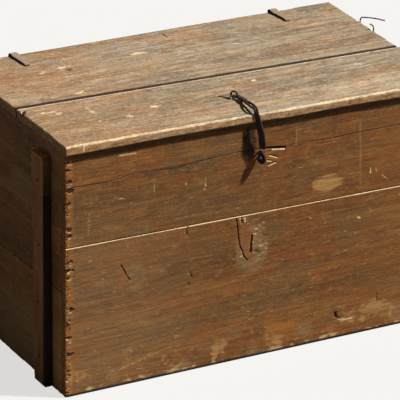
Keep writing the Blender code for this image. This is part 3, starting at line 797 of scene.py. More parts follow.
def plain_board(node, body, finish, cells, rounding, grain, seed, inset=0.0, dark_front=False):
    """A board with general wear: an uneven face, rubbed edges and a few dark checks.

    inset sinks its faces so that nail heads stand out; the last flag paints shade, nearly black, on the
    side facing -Y.
    """
    piece = board(node, cells, rounding)
    places = places_of(piece)
    low, high = (np.array(c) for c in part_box(node))
    wear = no_wear(places)
    thin = int(np.argmin(high - low))
    wide = 3 - thin - grain
    lump = lumps(places, (9, 9, 9), seed)
    size = [120 if axis == grain else 22 for axis in (X, Y, Z)]
    drawn = lumps(places, size, seed + 1)
    for side in (-1, 1):
        long_gap = edge_gap(places, node, wide, side)
        end_gap = side * ((high if side > 0 else low)[grain] - places[:, grain])
        lay(wear, "raw", close_to(long_gap, 0.5, 3.5) * step(lump, 0.5, 0.85) * 0.6)
        lay(wear, "grime", close_to(long_gap, 0.4, 1.8) * 0.6)
        lay(wear, "amber", close_to(end_gap, 2, 14) * (0.3 + 0.6 * lump))
        lay(wear, "grime", close_to(end_gap, 0.5, 5) * step(lump, 0.62, 0.85) * 0.7)
        gap = np.minimum(long_gap, end_gap)
        chew = 1.1 * MM * close_to(gap, 0, 5) * step(lump, 0.45, 0.9)
        press(piece, wide, -side * chew * close_to(long_gap, 0, 8))
    lay(wear, "grey", step(drawn, 0.55, 0.8) * 0.5)
    lay(wear, "grime", step(lumps(places, size, seed + 2), 0.78, 0.92) * 0.25)
    if grain == Y and low[Z] < BOARD:
        lay(wear, "grey", 0.6 * step(places[:, Z], 0.21, 0.08))
    # Painted shade: the side facing -Y turns nearly black, where the chest itself shades it.
    if dark_front:
        lay(wear, "grime", close_to(places[:, Y] - low[Y], 6, 12))
    inward = np.where(places[:, thin] > (low + high)[thin] / 2, -1, 1)
    press(piece, thin, (inset + 0.4 * MM * drawn) * inward)
    follow_lid(piece)
    deliver(piece, node, body, "wall_wood", finish, wear)


LID_CRACKS = (
    ("grime", ((0.121, -0.163), (0.150, -0.150), (0.195, -0.151)), 0.9, 0.55, 0.5),
    ("grime", ((0.0211, 0.2103), (0.0209, 0.1918)), 1.6, 0.9, 1.2),
    ("grime", ((0.3219, 0.0348), (0.3628, 0.0474), (0.3896, 0.053), (0.4190, 0.0490)), 1.0, 0.8, 1.2),
    ("grime", ((0.1652, -0.1309), (0.1737, -0.1655), (0.1687, -0.1846)), 1.2, 0.4, 0.5),
    ("grime", ((-0.384, -0.246), (-0.3835, -0.230)), 1.0, 0.35, 0.6),
    ("grime", ((-0.420, -0.060), (-0.412, -0.050)), 3.0, 0.9, 3.0),
    ("grime", ((0.30, 0.090), (0.36, 0.083), (0.42, 0.080)), 0.7, 0.4, 0.5),
)
# Spots on the lid: centre, radii and strength.
LID_DARK = (
    ((-0.2385, 0.1116), (9, 7), 0.8), ((-0.2775, 0.1046), (16, 11), 0.45),
    ((0.1661, 0.1187), (15, 9), 0.35), ((0.2549, 0.1473), (14, 8), 0.3),
    ((0.0521, -0.1784), (12, 9), 0.35), ((0.1587, -0.0927), (16, 11), 0.45),
    ((-0.1576, 0.0630), (22, 9), 0.4), ((-0.3518, -0.0128), (15, 9), 0.4),
    ((-0.2424, -0.1251), (20, 12), 0.4), ((-0.0500, 0.0450), (14, 8), 0.35),
)
LID_PALE = (
    ((-0.2432, 0.1271), (16, 9), 0.75), ((-0.2900, 0.1200), (12, 8), 0.5),
    ((-0.3765, -0.0753), (15, 7), 0.9), ((-0.3590, -0.0890), (10, 9), 0.6),
    ((-0.1783, -0.1360), (9, 6), 1.1), ((0.0546, -0.0964), (7, 5), 1.2),
    ((-0.3076, -0.1584), (5, 5), 0.8), ((-0.2987, -0.1055), (5, 26), 0.5),
    ((0.1287, 0.0974), (8, 5), 0.7), ((-0.0702, 0.1313), (20, 7), 0.7),
    ((-0.2742, -0.0089), (16, 6), 0.7), ((-0.3274, -0.0122), (9, 6), 0.6),
    ((-0.2450, -0.1600), (7, 8), 0.6), ((0.3650, 0.1500), (20, 5), 0.3),
)
LID_WARM = (
    ((0.0232, -0.1129), (26, 16), 0.9), ((0.0429, -0.1226), (16, 10), 0.75),
    ((-0.0041, -0.1336), (17, 12), 0.8), ((-0.0223, 0.1168), (17, 9), 0.8),
    ((-0.3730, 0.0996), (26, 13), 0.6), ((0.0392, 0.1002), (26, 10), 0.5),
    ((0.0361, 0.0476), (24, 10), 0.6), ((0.2956, 0.2182), (10, 7), 0.7),
    ((0.0200, 0.1300), (12, 6), 0.7), ((-0.2900, 0.0300), (60, 26), 0.35),
)
LID_SPOTS = ((LID_DARK, "grime", 0.80, 0.5), (LID_PALE, "raw", 0.90, 0.5), (LID_WARM, "heart", 0.85, 0))


def lid_board(sizes, half):
    """One of the two lid boards, silvered on top, with a rounded and rubbed front edge."""
    node = f"lid_board_{half}"
    front = half == "front"
    cell = coarse(sizes.cell)
    piece = board(node, (cell, cell * 0.9, 4.5 * MM), sizes.rounding)
    lines = [row[1] for row in LID_CRACKS]

    def near(x, y, z):
        if front and y < LID_FRONT + 9 * MM:
            return True
        return z >= LID_TOP - 4 * MM and near_lines(x, y, lines, 4)

    refine(piece, near)
    places = places_of(piece)
    x, y, z = places.T
    wear = no_wear(places)
    under = LID_TOP - z
    top = close_to(under, 1.5, 5)
    left = x - LID_LEFT
    right = edge_gap(places, node, X, 1)
    seam = edge_gap(places, node, Y, 1 if front else -1)
    lump = lumps(places, (10, 6, 6), 31)
    fine = lumps(places, (4, 2.2, 3), 33)
    long_lump = lumps(places, (70, 9, 20), 35)

    down = 0.45 * MM * (long_lump - 0.45) + 0.25 * MM * (fine - 0.5)
    down += draw(wear, x, y, top, LID_CRACKS)
    ragged = 1.0 * (lump - 0.5) + 0.7 * (fine - 0.5)
    for table, kind, scale, depth in LID_SPOTS:
        for centre, radii, strength in table:
            spot = in_spot(x, y, centre, radii, ragged) * strength
            lay(wear, kind, top * spot * scale)
            down += depth * MM * spot * (fine - 0.2)
    broken = 0.35 + 0.75 * step(lumps(places, (24, 3.5, 9), 38), 0.3, 0.7)
    rubbed = step(lumps(places, (140, 26, 50), 39), 0.58, 0.86)
    lay(wear, "bare", top * rubbed * 0.5 * broken)
    lay(wear, "grey", top * step(lumps(places, (170, 45, 50), 41), 0.50, 0.80) * 0.5)
    lay(wear, "bare", top * close_to(seam, 1, 9) * 0.45 * step(long_lump, 0.3, 0.7) * broken)
    lay(wear, "grime", step(under, 2 * MM, 3 * MM) * close_to(seam, 0, 1.5) * 0.95)
    if front:
        lay(wear, "raw", top * 0.75 * (0.4 + 0.7 * lump) * close_to(seam, 3.5, 8))
        lay(wear, "grime", top * close_to(seam, 0.3, 1.4) * 0.8)
        worn_down = 0.9
    else:
        lay(wear, "grime", top * close_to(seam, 5, 10) * 0.8)
        worn_down = 2.4
    down += worn_down * MM * close_to(seam, 0, 2.2 * worn_down) * (0.4 + lump)
    lay(wear, "amber", top * 0.55 * step(x, 0.15, -0.35) * (0.6 + 0.6 * long_lump))
    for gap in (left, right):
        lay(wear, "raw", close_to(gap, 0.5, 4.5) * top * 0.8 * step(lump, 0.35, 0.7))
        end_face = close_to(gap, 0.5, 2.5) * step(under, 1 * MM, 3 * MM)
        lay(wear, "amber", end_face)
        lay(wear, "grime", end_face * (0.30 + 0.3 * lump))
        down += 1.4 * MM * close_to(gap, 0, 4) * lump
    press(piece, Z, -np.clip(down * top, -0.3 * MM, 5 * MM))
    if front:
        wave = lumps(places, (120, 900, 900), 37)
        round_lid_front(piece, wear, sizes.lid_rounding, lump, fine, wave)
    else:
        rear = edge_gap(places, node, Y, 1)
        chips = close_to(rear, 0, 6) * step(lumps(places, (30, 30, 30), 43), 0.6, 0.8)
        press(piece, Y, -2.5 * MM * chips)
    press(piece, X, 1.6 * MM * (close_to(left, 0, 3) - close_to(right, 0, 3)) * step(lump, 0.4, 0.9))
    follow_lid(piece)
    deliver(piece, node, "lid", "lid_wood", lid_pine(2.9 if front else 0.0), wear)


def round_lid_front(piece, wear, radius, lump, fine, wave):
    """Rounds the lid's front edge, which hands have polished, and leaves its lower edge wavy."""
    places = places_of(piece)
    x, y, z = places.T
    from_front = y - LID_FRONT
    from_top = LID_TOP - z
    radii = radius * (0.75 + 0.5 * lump)
    u = np.clip(radii - from_front, 0, None)
    v = np.clip(radii - from_top, 0, None)
    reach = np.hypot(u, v)
    over = np.where((u > 0) & (v > 0) & (reach > radii), 1 - radii / np.maximum(reach, 1e-9), 0)
    face = close_to(from_front, 1.5, 5)
    dents = face * (0.9 * MM * (lump - 0.4) + 0.5 * MM * (fine - 0.5))
    press(piece, Y, u * over + np.clip(dents, 0, None))
    low = close_to(z - (LID_TOP - BOARD), 0, 8)
    press(piece, Z, -v * over + low * face * 2.2 * MM * step(wave, 0.35, 0.75))
    polished = close_to(np.hypot(from_front, from_top) + 3 * MM * (fine - 0.5), 2.4, 5.5)
    lay(wear, "raw", polished * (0.30 + 0.6 * lump))
    wear["grey"] *= 1 - polished
    wear["grime"] *= 1 - 0.8 * polished
    body = face * step(from_top, 3 * MM, 6 * MM)
    lay(wear, "amber", body * (0.5 + 0.6 * lump))
    lay(wear, "bare", body * step(lumps(places, (10, 9, 5), 45), 0.45, 0.8) * 0.7)
    lay(wear, "grime", face * step(from_top, 14.5 * MM, 17.5 * MM) * 0.5)
    lay(wear, "grime", body * step(lumps(places, (3, 9, 9), 47), 0.72, 0.9) * 0.6)
    nick = ((-0.3832, 0.5150), (-0.3831, 0.5060))
    draw(wear, x, z, face, [("raw", nick, 1.3, 1.3, 0)])


# Iron pieces ---------------------------------------------------------------------------------


def fit_iron(piece, body, *nodes):
    """Gives a wire or nail its rusty finish and hangs it on its body."""
    fit(piece, body, "rusty_iron", rusty_iron(), *nodes)


def wire(name, points, radius, cyclic=False, radii=None):
    """A round wire bent through the points, as a welded mesh."""
    bpy.ops.object.select_all(action="DESELECT")
    curve = bpy.data.curves.new(name, "CURVE")
    curve.dimensions = "3D"
    curve.bevel_depth = radius
    curve.bevel_resolution = 3
    curve.use_fill_caps = True
    spline = curve.splines.new("POLY")
    spline.points.add(len(points) - 1)
    for number, (point, at) in enumerate(zip(spline.points, points)):
        point.co = (*at, 1)
        point.radius = radii[number] if radii else 1.0
    spline.use_cyclic_u = cyclic
    piece = bpy.data.objects.new(name, curve)
    bpy.context.scene.collection.objects.link(piece)
    only(piece)
    bpy.ops.object.convert(target="MESH")
    bpy.ops.object.mode_set(mode="EDIT")
    bpy.ops.mesh.select_all(action="SELECT")
    bpy.ops.mesh.remove_doubles(threshold=0.01 * MM)
    bpy.ops.mesh.normals_make_consistent(inside=False)
    bpy.ops.object.mode_set(mode="OBJECT")
    smooth_under(50)
    return piece


def smooth_path(points, count):
    """Points on one smooth curve through the given ones."""
    points = [Vector(p) for p in points]
    ends = [2 * points[0] - points[1]] + points + [2 * points[-1] - points[-2]]
    path = []
    for number in range(count + 1):
        share = number / count * (len(points) - 1)
        at = min(int(share), len(points) - 2)
        t = share - at
        a, b, c, d = ends[at : at + 4]
        path.append(0.5 * ((2 * b) + (c - a) * t + (2 * a - 5 * b + 4 * c - d) * t * t
                           + (3 * b - a - 3 * c + d) * t ** 3))
    return path


def arc(centre, across, radius, start, turn, count):
    """Points on an upright arc: from a start angle through a turn, in that many steps."""
    angles = [start + turn * i / count for i in range(count + 1)]
    return [centre + (across * math.cos(a) + UP * math.sin(a)) * radius for a in angles]


def joined(name, pieces):
    """Several iron shapes as one piece."""
    bpy.ops.object.select_all(action="DESELECT")
    for piece in pieces:
        piece.select_set(True)
    bpy.context.view_layer.objects.active = pieces[0]
    bpy.ops.object.join()
    pieces[0].name = name
    return pieces[0]


def uneven(count, seed, most=0.18):
    """Radius factors of a corroded wire, in lumps three points long."""
    at = np.array([[i * MM, 0.0, 0.0] for i in range(count)])
    return list(1 + most * (lumps(at, (3, 1, 1), seed) - 0.5) * 2)


def hasp():
    """The wire hasp: an eye on the lid's staple, a twisted neck and a turned loop over the edge."""
    box_low, box_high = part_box("hasp_loop")
    staple_low, staple_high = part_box("hasp_staple")
    eye_at = (staple_low + staple_high) / 2
    eye_radius = 6.2 * MM
    eye_wire = 1.9 * MM
    strand = 2.35 * MM
    centre = Vector((eye_at.x, eye_at.y, box_high.z - 0.3 * MM - eye_radius - 1.1 * eye_wire))
    diagonal = Vector((1, -1, 0)).normalized()
    ring = arc(centre, diagonal, eye_radius, 0, math.tau, 48)[:-1]
    parts = [wire("eye", ring, eye_wire, cyclic=True, radii=uneven(48, 3, 0.1))]

    start = eye_at.xy.to_3d() + UP * LID_TOP
    neck = smooth_path([
        start + Vector((0.0045, -0.0055, 0.0074)), start + Vector((0.0052, -0.0085, 0.0060)),
        start + Vector((0.0058, -0.0140, 0.0052)), start + Vector((0.0068, -0.0230, 0.0050)),
        (-0.0197, -0.1990, LID_TOP + 5.0 * MM),
    ], 40)
    full = [min(1.0, 0.5 + i / 12) for i in range(41)]
    thickness = [size * share for size, share in zip(uneven(41, 5), full)]
    neck_turns = 2.2
    for half_turn in (0, math.pi):
        twisted = []
        for i, at in enumerate(neck):
            angle = half_turn + i / 40 * math.tau * neck_turns
            twisted.append(at + Vector((math.cos(angle), 0, math.sin(angle))) * 2.0 * MM * full[i])
        parts.append(wire("neck", twisted, strand, radii=thickness))
    wrap = []
    for i in range(30):
        angle = math.tau * i / 12
        out = (4.2 * math.cos(angle), (i / 12 - 1) * 3.0, 3.2 * math.sin(angle))
        wrap.append(neck[28] + Vector(out) * MM)
    parts.append(wire("wrap", wrap, 1.5 * MM))

    edge = box_low.y + 5.6 * MM
    over = LID_TOP + 4.6 * MM
    stations = [  # the loop's middle line, half its opening in millimetres, and its turn in degrees
        ((-0.0197, -0.1985, over), 1.6, 0),
        ((-0.0200, -0.2160, over + 0.4 * MM), 4.0, 0),
        ((-0.0208, -0.2330, over), 3.4, 0),
        ((-0.0212, edge + 2.6 * MM, over - 0.8 * MM), 2.3, 20),
        ((-0.0208, edge, LID_TOP - 2.5 * MM), 2.4, 40),
        ((-0.0182, edge + 0.8 * MM, LID_TOP - 14 * MM), 4.3, 52),
        ((-0.0112, -0.2470, LID_TOP - 45 * MM), 5.2, 60),
        ((-0.0050, -0.2440, LOOP_END), 5.2, 60),
    ]
    line = smooth_path([at for at, _, _ in stations], 70)
    spread = smooth_path([(half * MM, turn, 0) for _, half, turn in stations], 70)
    halves = []
    for half, turn, _ in spread:
        angle = math.radians(turn)
        halves.append(Vector((math.cos(angle), -math.sin(angle), 0)) * half)
    left = [at - half for at, half in zip(line, halves)]
    right = [at + half for at, half in zip(line, halves)]
    bend = []
    for i in range(1, 10):
        angle = math.pi * i / 10
        bend.append(line[-1] - halves[-1] * math.cos(angle) - UP * 1.6 * MM * math.sin(angle))
    loop = left + bend + right[::-1]
    parts.append(wire("loop", loop, strand, radii=uneven(len(loop), 7)))
    tail = [at + UP * MM for at in line[38:]]
    parts.append(wire("tail", tail, strand, radii=uneven(len(tail), 8)))
    fit_iron(joined("hasp_wire", parts), "hasp", "hasp_loop")


def lid_staple():
    """The low staple on the lid that the hasp's eye turns on, and the rusty wire end beside it."""
    low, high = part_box("hasp_staple")
    y = (low.y + high.y) / 2
    radius = (high.y - low.y) / 2
    crown = high.z - radius
    left, right = low.x + radius, high.x - radius
    bend = 3.2 * MM
    points = smooth_path([
        (left, y, low.z), (left, y, LID_TOP), (left, y, crown - 3 * MM), (low.x + bend, y, crown),
        (high.x - bend, y, crown), (right, y, crown - 3 * MM), (right, y, LID_TOP), (right, y, low.z),
    ], 56)
    fit_iron(wire("lid_staple_wire", points, radius, radii=uneven(57, 9, 0.1)), "lid", "hasp_staple")

    stub = [(-0.0480, -0.1450, LID_TOP + 0.6 * MM), (-0.0440, -0.1500, LID_TOP + 1.1 * MM),
            (-0.0385, -0.1560, LID_TOP + 1.3 * MM), (-0.0345, -0.1620, LID_TOP + 0.3 * MM),
            (-0.0335, -0.1635, LID_TOP - 3 * MM)]
    fit_iron(wire("lid_wire_stub", smooth_path(stub, 24), 0.9 * MM, radii=uneven(25, 15)), "lid")


def front_staple():
    """The staple on the front that the hasp drops over: a corroded wire eye on two legs."""
    source = np.array([v.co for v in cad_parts["front_staple"].data.vertices])
    low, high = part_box("front_staple")
    lean = math.radians(12)
    leg_gap = 4.8 * MM
    radius = (high.z - low.z) / 2 - 2.4 * MM
    out = Vector((math.sin(lean), -math.cos(lean), 0))
    foot_x = source[source[:, 1] > FRONT, 0].mean()
    middle = Vector((foot_x, FRONT, (low.z + high.z) / 2)) + out * (radius + 1.7 * MM)
    half_open = math.asin(leg_gap / radius)
    eye = arc(middle, out, radius, math.pi - half_open, 2 * half_open - math.tau, 48)
    legs = [Vector((foot_x, FRONT + 12 * MM, middle.z + side * leg_gap)) for side in (1, -1)]
    path = [legs[0]] + eye + [legs[1]]
    outer = wire("outer_turn", path, 2.3 * MM, radii=uneven(len(path), 11))
    coil = arc(middle, out, 5.6 * MM, 0, math.tau, 40)[:-1]
    inner = wire("inner_turn", coil, 2.8 * MM, cyclic=True, radii=uneven(40, 12))
    fit_iron(joined("front_staple_wire", [outer, inner]), "box", "front_staple")


def end_wires():
    """The two bent wire nails in the right end of the lid."""
    middle = LID_TOP - BOARD / 2
    long_low, long_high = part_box("end_wire_long")
    hook_low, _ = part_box("end_hook_small")
    inside = 20 * MM
    half_wire = 1.4 * MM
    long_at = Vector((long_low.x + inside, long_high.y - half_wire, middle))
    hook_at = Vector((hook_low.x + inside, hook_low.y + half_wire, middle))
    reach = long_high.x - 0.6 * MM - long_at.x
    routes = {
        "end_wire_long": (long_at, [
            (-0.012, 0, 0), (0.0015, 0, 0), (0.0030, 0, 0.0028), (0.0037, 0, 0.0110),
            (0.0058, 0, 0.0150), (0.0100, -0.001, 0.0156), (0.0320, -0.007, 0.0120),
            (reach, -0.013, 0.0056),
        ]),
        "end_hook_small": (hook_at, [
            (-0.012, 0, 0), (0.0010, 0, 0), (0.0028, 0, 0.0032), (0.0030, 0.0004, 0.0130),
            (0.0005, 0.0020, 0.0180), (-0.0033, 0.0048, 0.0204),
        ]),
    }
    for node, (start, route) in routes.items():
        path = smooth_path([start + Vector(step_off) for step_off in route], 48)
        fit_iron(wire(node + "_bent", path, 1.35 * MM, radii=uneven(49, 13, 0.12)), "lid", node)


def strap(face):
    """A hinge strap: a hammered, tapering strip over the lid's rear edge, rolled round its pin."""
    node = f"hinge_strap_{face}"
    low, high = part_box(node)
    half = (high.x - low.x) / 2
    middle = (low.x + high.x) / 2
    top = LID_TOP + 0.4 * MM
    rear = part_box("lid_board_rear")[1].y
    pin_low, pin_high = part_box(f"hinge_pin_{face}")
    axis = (pin_low + pin_high) / 2
    roll = 5.0 * MM
    fall = axis.y - roll
    line = [
        (low.y, top), (low.y + 0.006, top + 0.9 * MM), (low.y + 0.020, top + 1.5 * MM),
        (rear - 0.020, top + 1.7 * MM), (rear - 0.011, top + 2.6 * MM), (rear - 0.006, top + 3.2 * MM),
        (rear - 0.001, top + 2.9 * MM), (fall, top + 1.0 * MM), (fall, axis.z + 6.2 * MM),
        (fall, axis.z + 5.0 * MM),
    ]
    for i in range(15):
        angle = math.pi + math.radians(22) * i
        line.append((axis.y + roll * math.cos(angle), axis.z + roll * math.sin(angle)))
    piece = primitive(f"{face}_strap_iron", "plane", (2 * half, 1 * MM, 1), size=1,
                      location=(middle, low.y + 0.5 * MM, top))
    bpy.ops.object.mode_set(mode="EDIT")
    pick(piece, "edges", lambda edge: min(v.co.y for v in edge.verts) > low.y + 0.6 * MM)
    at = Vector((0, low.y + 1 * MM, top))
    for y, z in line[1:]:
        target = Vector((0, y, z))
        bpy.ops.mesh.extrude_region_move(TRANSFORM_OT_translate={"value": target - at})
        at = target
    bpy.ops.mesh.select_all(action="SELECT")
    bpy.ops.mesh.normals_make_consistent(inside=False)
    bpy.ops.object.mode_set(mode="OBJECT")
    if sum(p.normal.z for p in piece.data.polygons) < 0:
        piece.data.flip_normals()
    finish_with(piece, "SOLIDIFY", thickness=2.8 * MM, offset=1.0)
    finish_with(piece, "BEVEL", width=0.5 * MM, segments=2, limit_method="ANGLE")
    finish_with(piece, "SUBSURF", levels=2, render_levels=2, subdivision_type="SIMPLE")

    places = places_of(piece)
    x, y, z = places.T
    lump = lumps(places, (6, 6, 6), 51)
    knuckle_half = 3.1 * MM
    width = 1 - 0.42 * step(y, rear - 6 * MM, low.y + 4 * MM)
    rolled = close_to(z - axis.z, 4.9, 6.3)
    width = width * (1 - rolled) + knuckle_half / half * rolled
    press(piece, X, (x - middle) * (width - 1) + 1.1 * MM * (lump - 0.5) * (1 - rolled))
    faces_up = np.array([vertex.normal.z for vertex in piece.data.vertices])
    mark(piece, "dust", step(faces_up, 0.3, 0.8))
    only(piece)
    smooth_under(40)
    fit(piece, "lid", "rusty_iron", dusty_iron(), node)


def nail_heads():
    """Heads of the nails that fix the battens and the cleats, hammered flat."""
    spots = []
    for face, side in (("left", -1), ("right", 1)):
        for end in ("front", "rear"):
            low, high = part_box(f"{face}_batten_{end}")
            x = low.x if side < 0 else high.x
            for number, z in enumerate((0.060, 0.170, 0.290, 0.420)):
                y = (low.y + high.y) / 2 + (number % 2 - 0.5) * 6 * MM
                name = f"batten_{face}_{end}_nail_{number}"
                spots.append((name, "box", Vector((x, y, z)), Vector((side, 0, 0))))
        low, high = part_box(f"lid_cleat_{face}")
        x = (low.x + high.x) / 2
        for number, y in enumerate((-0.180, -0.080, 0.060, 0.170)):
            at = Vector((x, y, low.z - float(lid_sag(x, y)) + 0.3 * MM))
            spots.append((f"cleat_{face}_nail_{number}", "lid", at, -UP))
    for name, body, at, outward in spots:
        head = primitive(name, "cylinder", vertices=14, radius=3.1 * MM, depth=1.6 * MM,
                         location=at - outward * 0.8 * MM,
                         rotation=outward.to_track_quat("Z", "Y").to_euler())
        finish_with(head, "BEVEL", width=0.6 * MM, segments=2, limit_method="ANGLE")
        smooth_under(50)
        fit_iron(head, body)


def cad_iron():
    """The frame's own nails, leaves and pins keep their shape and take the iron's finish."""
    for name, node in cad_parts.items():
        if any(word in name for word in ("nail", "leaf", "pin")):
            node.data.materials.clear()
            node.data.materials.append(rusty_iron())


# Stage ---------------------------------------------------------------------------------------


def by_ray(tree, seen, other):
    """A shader that the camera sees as one thing and the light that bounces as another."""
    ray = add(tree, "LightPath", out="Is Camera Ray")
    return add(tree, "MixShader", (ray, other, seen))


def floor_and_light(context):
    """A pale floor, soft studio light from the front right and a weak, cool fill from all round."""
    floor = primitive("studio_floor", "plane", size=context.scene.chest_sizes.floor,
                      location=(0, 0, -0.0002))
    made, tree, shader = blank("studio_floor_paint")
    paint = list(context.scene.chest_colours.floor)
    lit = add(tree, "BsdfDiffuse", {"Color": paint})
    glow = add(tree, "Emission", {"Color": paint, "Strength": 1.0})
    seen = add(tree, "MixShader", (0.85, lit, glow))
    bounce = add(tree, "BsdfDiffuse", {"Color": linear("827e78")})
    tree.links.new(by_ray(tree, seen, bounce), tree.nodes["Material Output"].inputs["Surface"])
    tree.nodes.remove(shader)
    floor.data.materials.append(made)

    light = bpy.data.lights.new("key", "SUN")
    light.energy = 7.3
    light.angle = math.radians(3.5)
    light.color = (1.0, 0.975, 0.94)
    key = bpy.data.objects.new("key", light)
    key.rotation_mode = "QUATERNION"
    key.rotation_quaternion = Vector((1.6, -1.0, 2.05)).to_track_quat("Z", "Y")
    context.scene.collection.objects.link(key)

    world = bpy.data.worlds.new("studio")
    world.use_nodes = True
    tree = world.node_tree
    soft = tree.nodes["Background"]
    fill(tree, soft, {"Color": (0.92, 0.96, 1.0, 1.0), "Strength": 0.16})
    plain = add(tree, "Background", {"Color": (1.0, 1.0, 1.0, 1.0), "Strength": 1.0})
    surface = tree.nodes["World Output"].inputs["Surface"]
    tree.links.new(by_ray(tree, plain, soft.outputs[0]), surface)
    context.scene.world = world


def place_camera(context):
    """A long lens that looks a little down on the front and the left end."""
    azimuth = math.radians(28.97)
    elevation = math.radians(22.8)
    roll = math.radians(0.97)
    distance = 6.203
    target = Vector((-0.1326, -0.2322, 0.3539))
    ahead = Vector((math.sin(azimuth) * math.cos(elevation),
                    math.cos(azimuth) * math.cos(elevation), -math.sin(elevation)))
    level = Vector((math.cos(azimuth), -math.sin(azimuth), 0))
    upright = level.cross(ahead)
    side = math.cos(roll) * level + math.sin(roll) * upright
    head = -math.sin(roll) * level + math.cos(roll) * upright
    lens = bpy.data.cameras.new("camera")
    lens.lens = 295.6
    lens.sensor_width = 36
    lens.clip_end = 100
    camera = bpy.data.objects.new("camera", lens)
    camera.rotation_mode = "QUATERNION"
    camera.rotation_quaternion = Matrix((side, head, -ahead)).transposed().to_quaternion()
    camera.location = target - ahead * distance
    context.scene.collection.objects.link(camera)
    context.scene.camera = camera
    context.scene.view_settings.view_transform = "Standard"
    context.scene.view_settings.look = "None"


# Operators -----------------------------------------------------------------------------------


class CHEST_OT_front(Operator):
    """Builds the two front boards with their crack, slot, knots and worn ends"""

    bl_idname = "chest.front"
    bl_label = "Front boards"

    def execute(self, context):
        for level in ("lower", "upper"):
            front_board(context.scene.chest_sizes, level)
        return {"FINISHED"}


class CHEST_OT_back(Operator):
    """Builds the two back boards"""

    bl_idname = "chest.back"
    bl_label = "Back boards"

    def execute(self, context):
        sizes = context.scene.chest_sizes
        cell = coarse(sizes.cell) * 1.7
        for number, level in enumerate(("lower", "upper")):
            plain_board(f"back_board_{level}", "box", wall_pine(X, 8.3 + number),
                        (cell, 6 * MM, cell), sizes.rounding, X, 61 + number * 4)
        return {"FINISHED"}


class CHEST_OT_ends(Operator):
    """Builds the four end boards; the left ones are darker above and lighter below, as painted shade and
    painted light
    """

    bl_idname = "chest.ends"
    bl_label = "End boards"

    def execute(self, context):
        sizes = context.scene.chest_sizes
        cell = coarse(sizes.cell) * 1.3
        # The left lifts paint shade on the upper board and light on the lower one; the right boards keep
        # the wood's own colour.
        for face, level, shift, lift, seed in (
            ("left", "lower", 5.1, 1.15, 42), ("left", "upper", 1.3, 0.85, 42),
            ("right", "lower", 5.1, 1.0, 43), ("right", "upper", 1.3, 1.0, 43),
        ):
            plain_board(f"{face}_end_board_{level}", "box", wall_pine(Y, shift, lift),
                        (6 * MM, cell, cell), sizes.rounding, Y, seed)
        return {"FINISHED"}


class CHEST_OT_battens(Operator):
    """Builds the four upright battens on the ends"""

    bl_idname = "chest.battens"
    bl_label = "Battens"

    def execute(self, context):
        cell = coarse(context.scene.chest_sizes.cell)
        # The left battens are lifted to 1.1 as painted light, and their fronts take painted shade.
        for face, end, lift, seed in (("left", "front", 1.1, 71), ("left", "rear", 1.1, 76),
                                      ("right", "front", 1.0, 81), ("right", "rear", 1.0, 86)):
            plain_board(f"{face}_batten_{end}", "box", wall_pine(Z, seed / 10, lift),
                        (cell, cell, cell), 1.6 * MM, Z, seed, 0.7 * MM, dark_front=face == "left")
        return {"FINISHED"}


class CHEST_OT_bottom(Operator):
    """Builds the bottom boards"""

    bl_idname = "chest.bottom"
    bl_label = "Bottom boards"

    def execute(self, context):
        sizes = context.scene.chest_sizes
        cell = coarse(sizes.cell) * 2
        for number, place in enumerate(("front", "middle", "rear")):
            plain_board(f"bottom_board_{place}", "box", wall_pine(X, 12 + number),
                        (cell, cell, 6 * MM), sizes.rounding, X, 91 + number * 4)
        return {"FINISHED"}


class CHEST_OT_lid(Operator):
    """Builds the two lid boards"""

    bl_idname = "chest.lid"
    bl_label = "Lid boards"

    def execute(self, context):
        for half in ("front", "rear"):
            lid_board(context.scene.chest_sizes, half)
        return {"FINISHED"}


class CHEST_OT_cleats(Operator):
    """Builds the two cleats under the lid"""

    bl_idname = "chest.cleats"
    bl_label = "Lid cleats"

    def execute(self, context):
        cell = coarse(context.scene.chest_sizes.cell) * 1.6
        for number, face in enumerate(("left", "right")):
            plain_board(f"lid_cleat_{face}", "lid", wall_pine(Y, 16 + number),
                        (cell, cell, cell), 1.5 * MM, Y, 111 + number * 4)
        return {"FINISHED"}


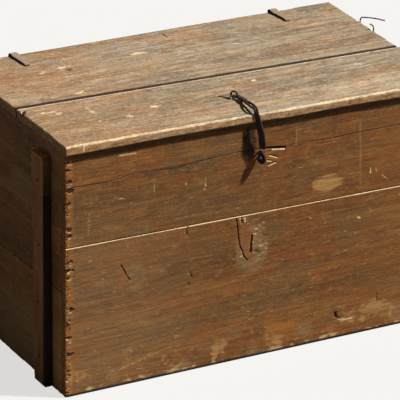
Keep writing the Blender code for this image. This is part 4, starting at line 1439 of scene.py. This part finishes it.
class CHEST_OT_hinges(Operator):
    """Builds the hinge straps and finishes the nails, leaves and pins"""

    bl_idname = "chest.hinges"
    bl_label = "Hinges and nails"

    def execute(self, context):
        cad_iron()
        for face in ("left", "right"):
            strap(face)
        nail_heads()
        return {"FINISHED"}


class CHEST_OT_hasp(Operator):
    """Builds the wire hasp, the staple that it hangs on and the staple that it drops over"""

    bl_idname = "chest.hasp"
    bl_label = "Hasp and staples"

    def execute(self, context):
        hasp()
        lid_staple()
        front_staple()
        return {"FINISHED"}


class CHEST_OT_end_wires(Operator):
    """Builds the two bent wire nails in the lid's right end"""

    bl_idname = "chest.end_wires"
    bl_label = "End wires"

    def execute(self, context):
        end_wires()
        return {"FINISHED"}


class CHEST_OT_stage(Operator):
    """Adds the floor, the lights and the camera"""

    bl_idname = "chest.stage"
    bl_label = "Stage"

    def execute(self, context):
        floor_and_light(context)
        place_camera(context)
        return {"FINISHED"}


OPERATORS = (
    CHEST_OT_front, CHEST_OT_back, CHEST_OT_ends, CHEST_OT_battens, CHEST_OT_bottom, CHEST_OT_lid,
    CHEST_OT_cleats, CHEST_OT_hinges, CHEST_OT_hasp, CHEST_OT_end_wires, CHEST_OT_stage,
)


class CHEST_PT_panel(Panel):
    """Lists the chest's sizes, colours and pieces"""

    bl_idname = "CHEST_PT_panel"
    bl_label = "Plank chest"
    bl_space_type = "VIEW_3D"
    bl_region_type = "UI"
    bl_category = "Chest"

    def draw(self, context):
        for group in (context.scene.chest_sizes, context.scene.chest_colours):
            for name in group.__annotations__:
                self.layout.prop(group, name)
        for operator in OPERATORS:
            self.layout.operator(operator.bl_idname)


CLASSES = (ChestSizes, ChestColours, *OPERATORS, CHEST_PT_panel)


def register():
    for made in CLASSES:
        bpy.utils.register_class(made)
    bpy.types.Scene.chest_sizes = PointerProperty(type=ChestSizes)
    bpy.types.Scene.chest_colours = PointerProperty(type=ChestColours)


def unregister():
    del bpy.types.Scene.chest_colours
    del bpy.types.Scene.chest_sizes
    for made in reversed(CLASSES):
        bpy.utils.unregister_class(made)


def main():
    """Builds every piece."""
    register()
    for operator in OPERATORS:
        group, name = operator.bl_idname.split(".")
        getattr(getattr(bpy.ops, group), name)()


if __name__ == "__main__":
    main()
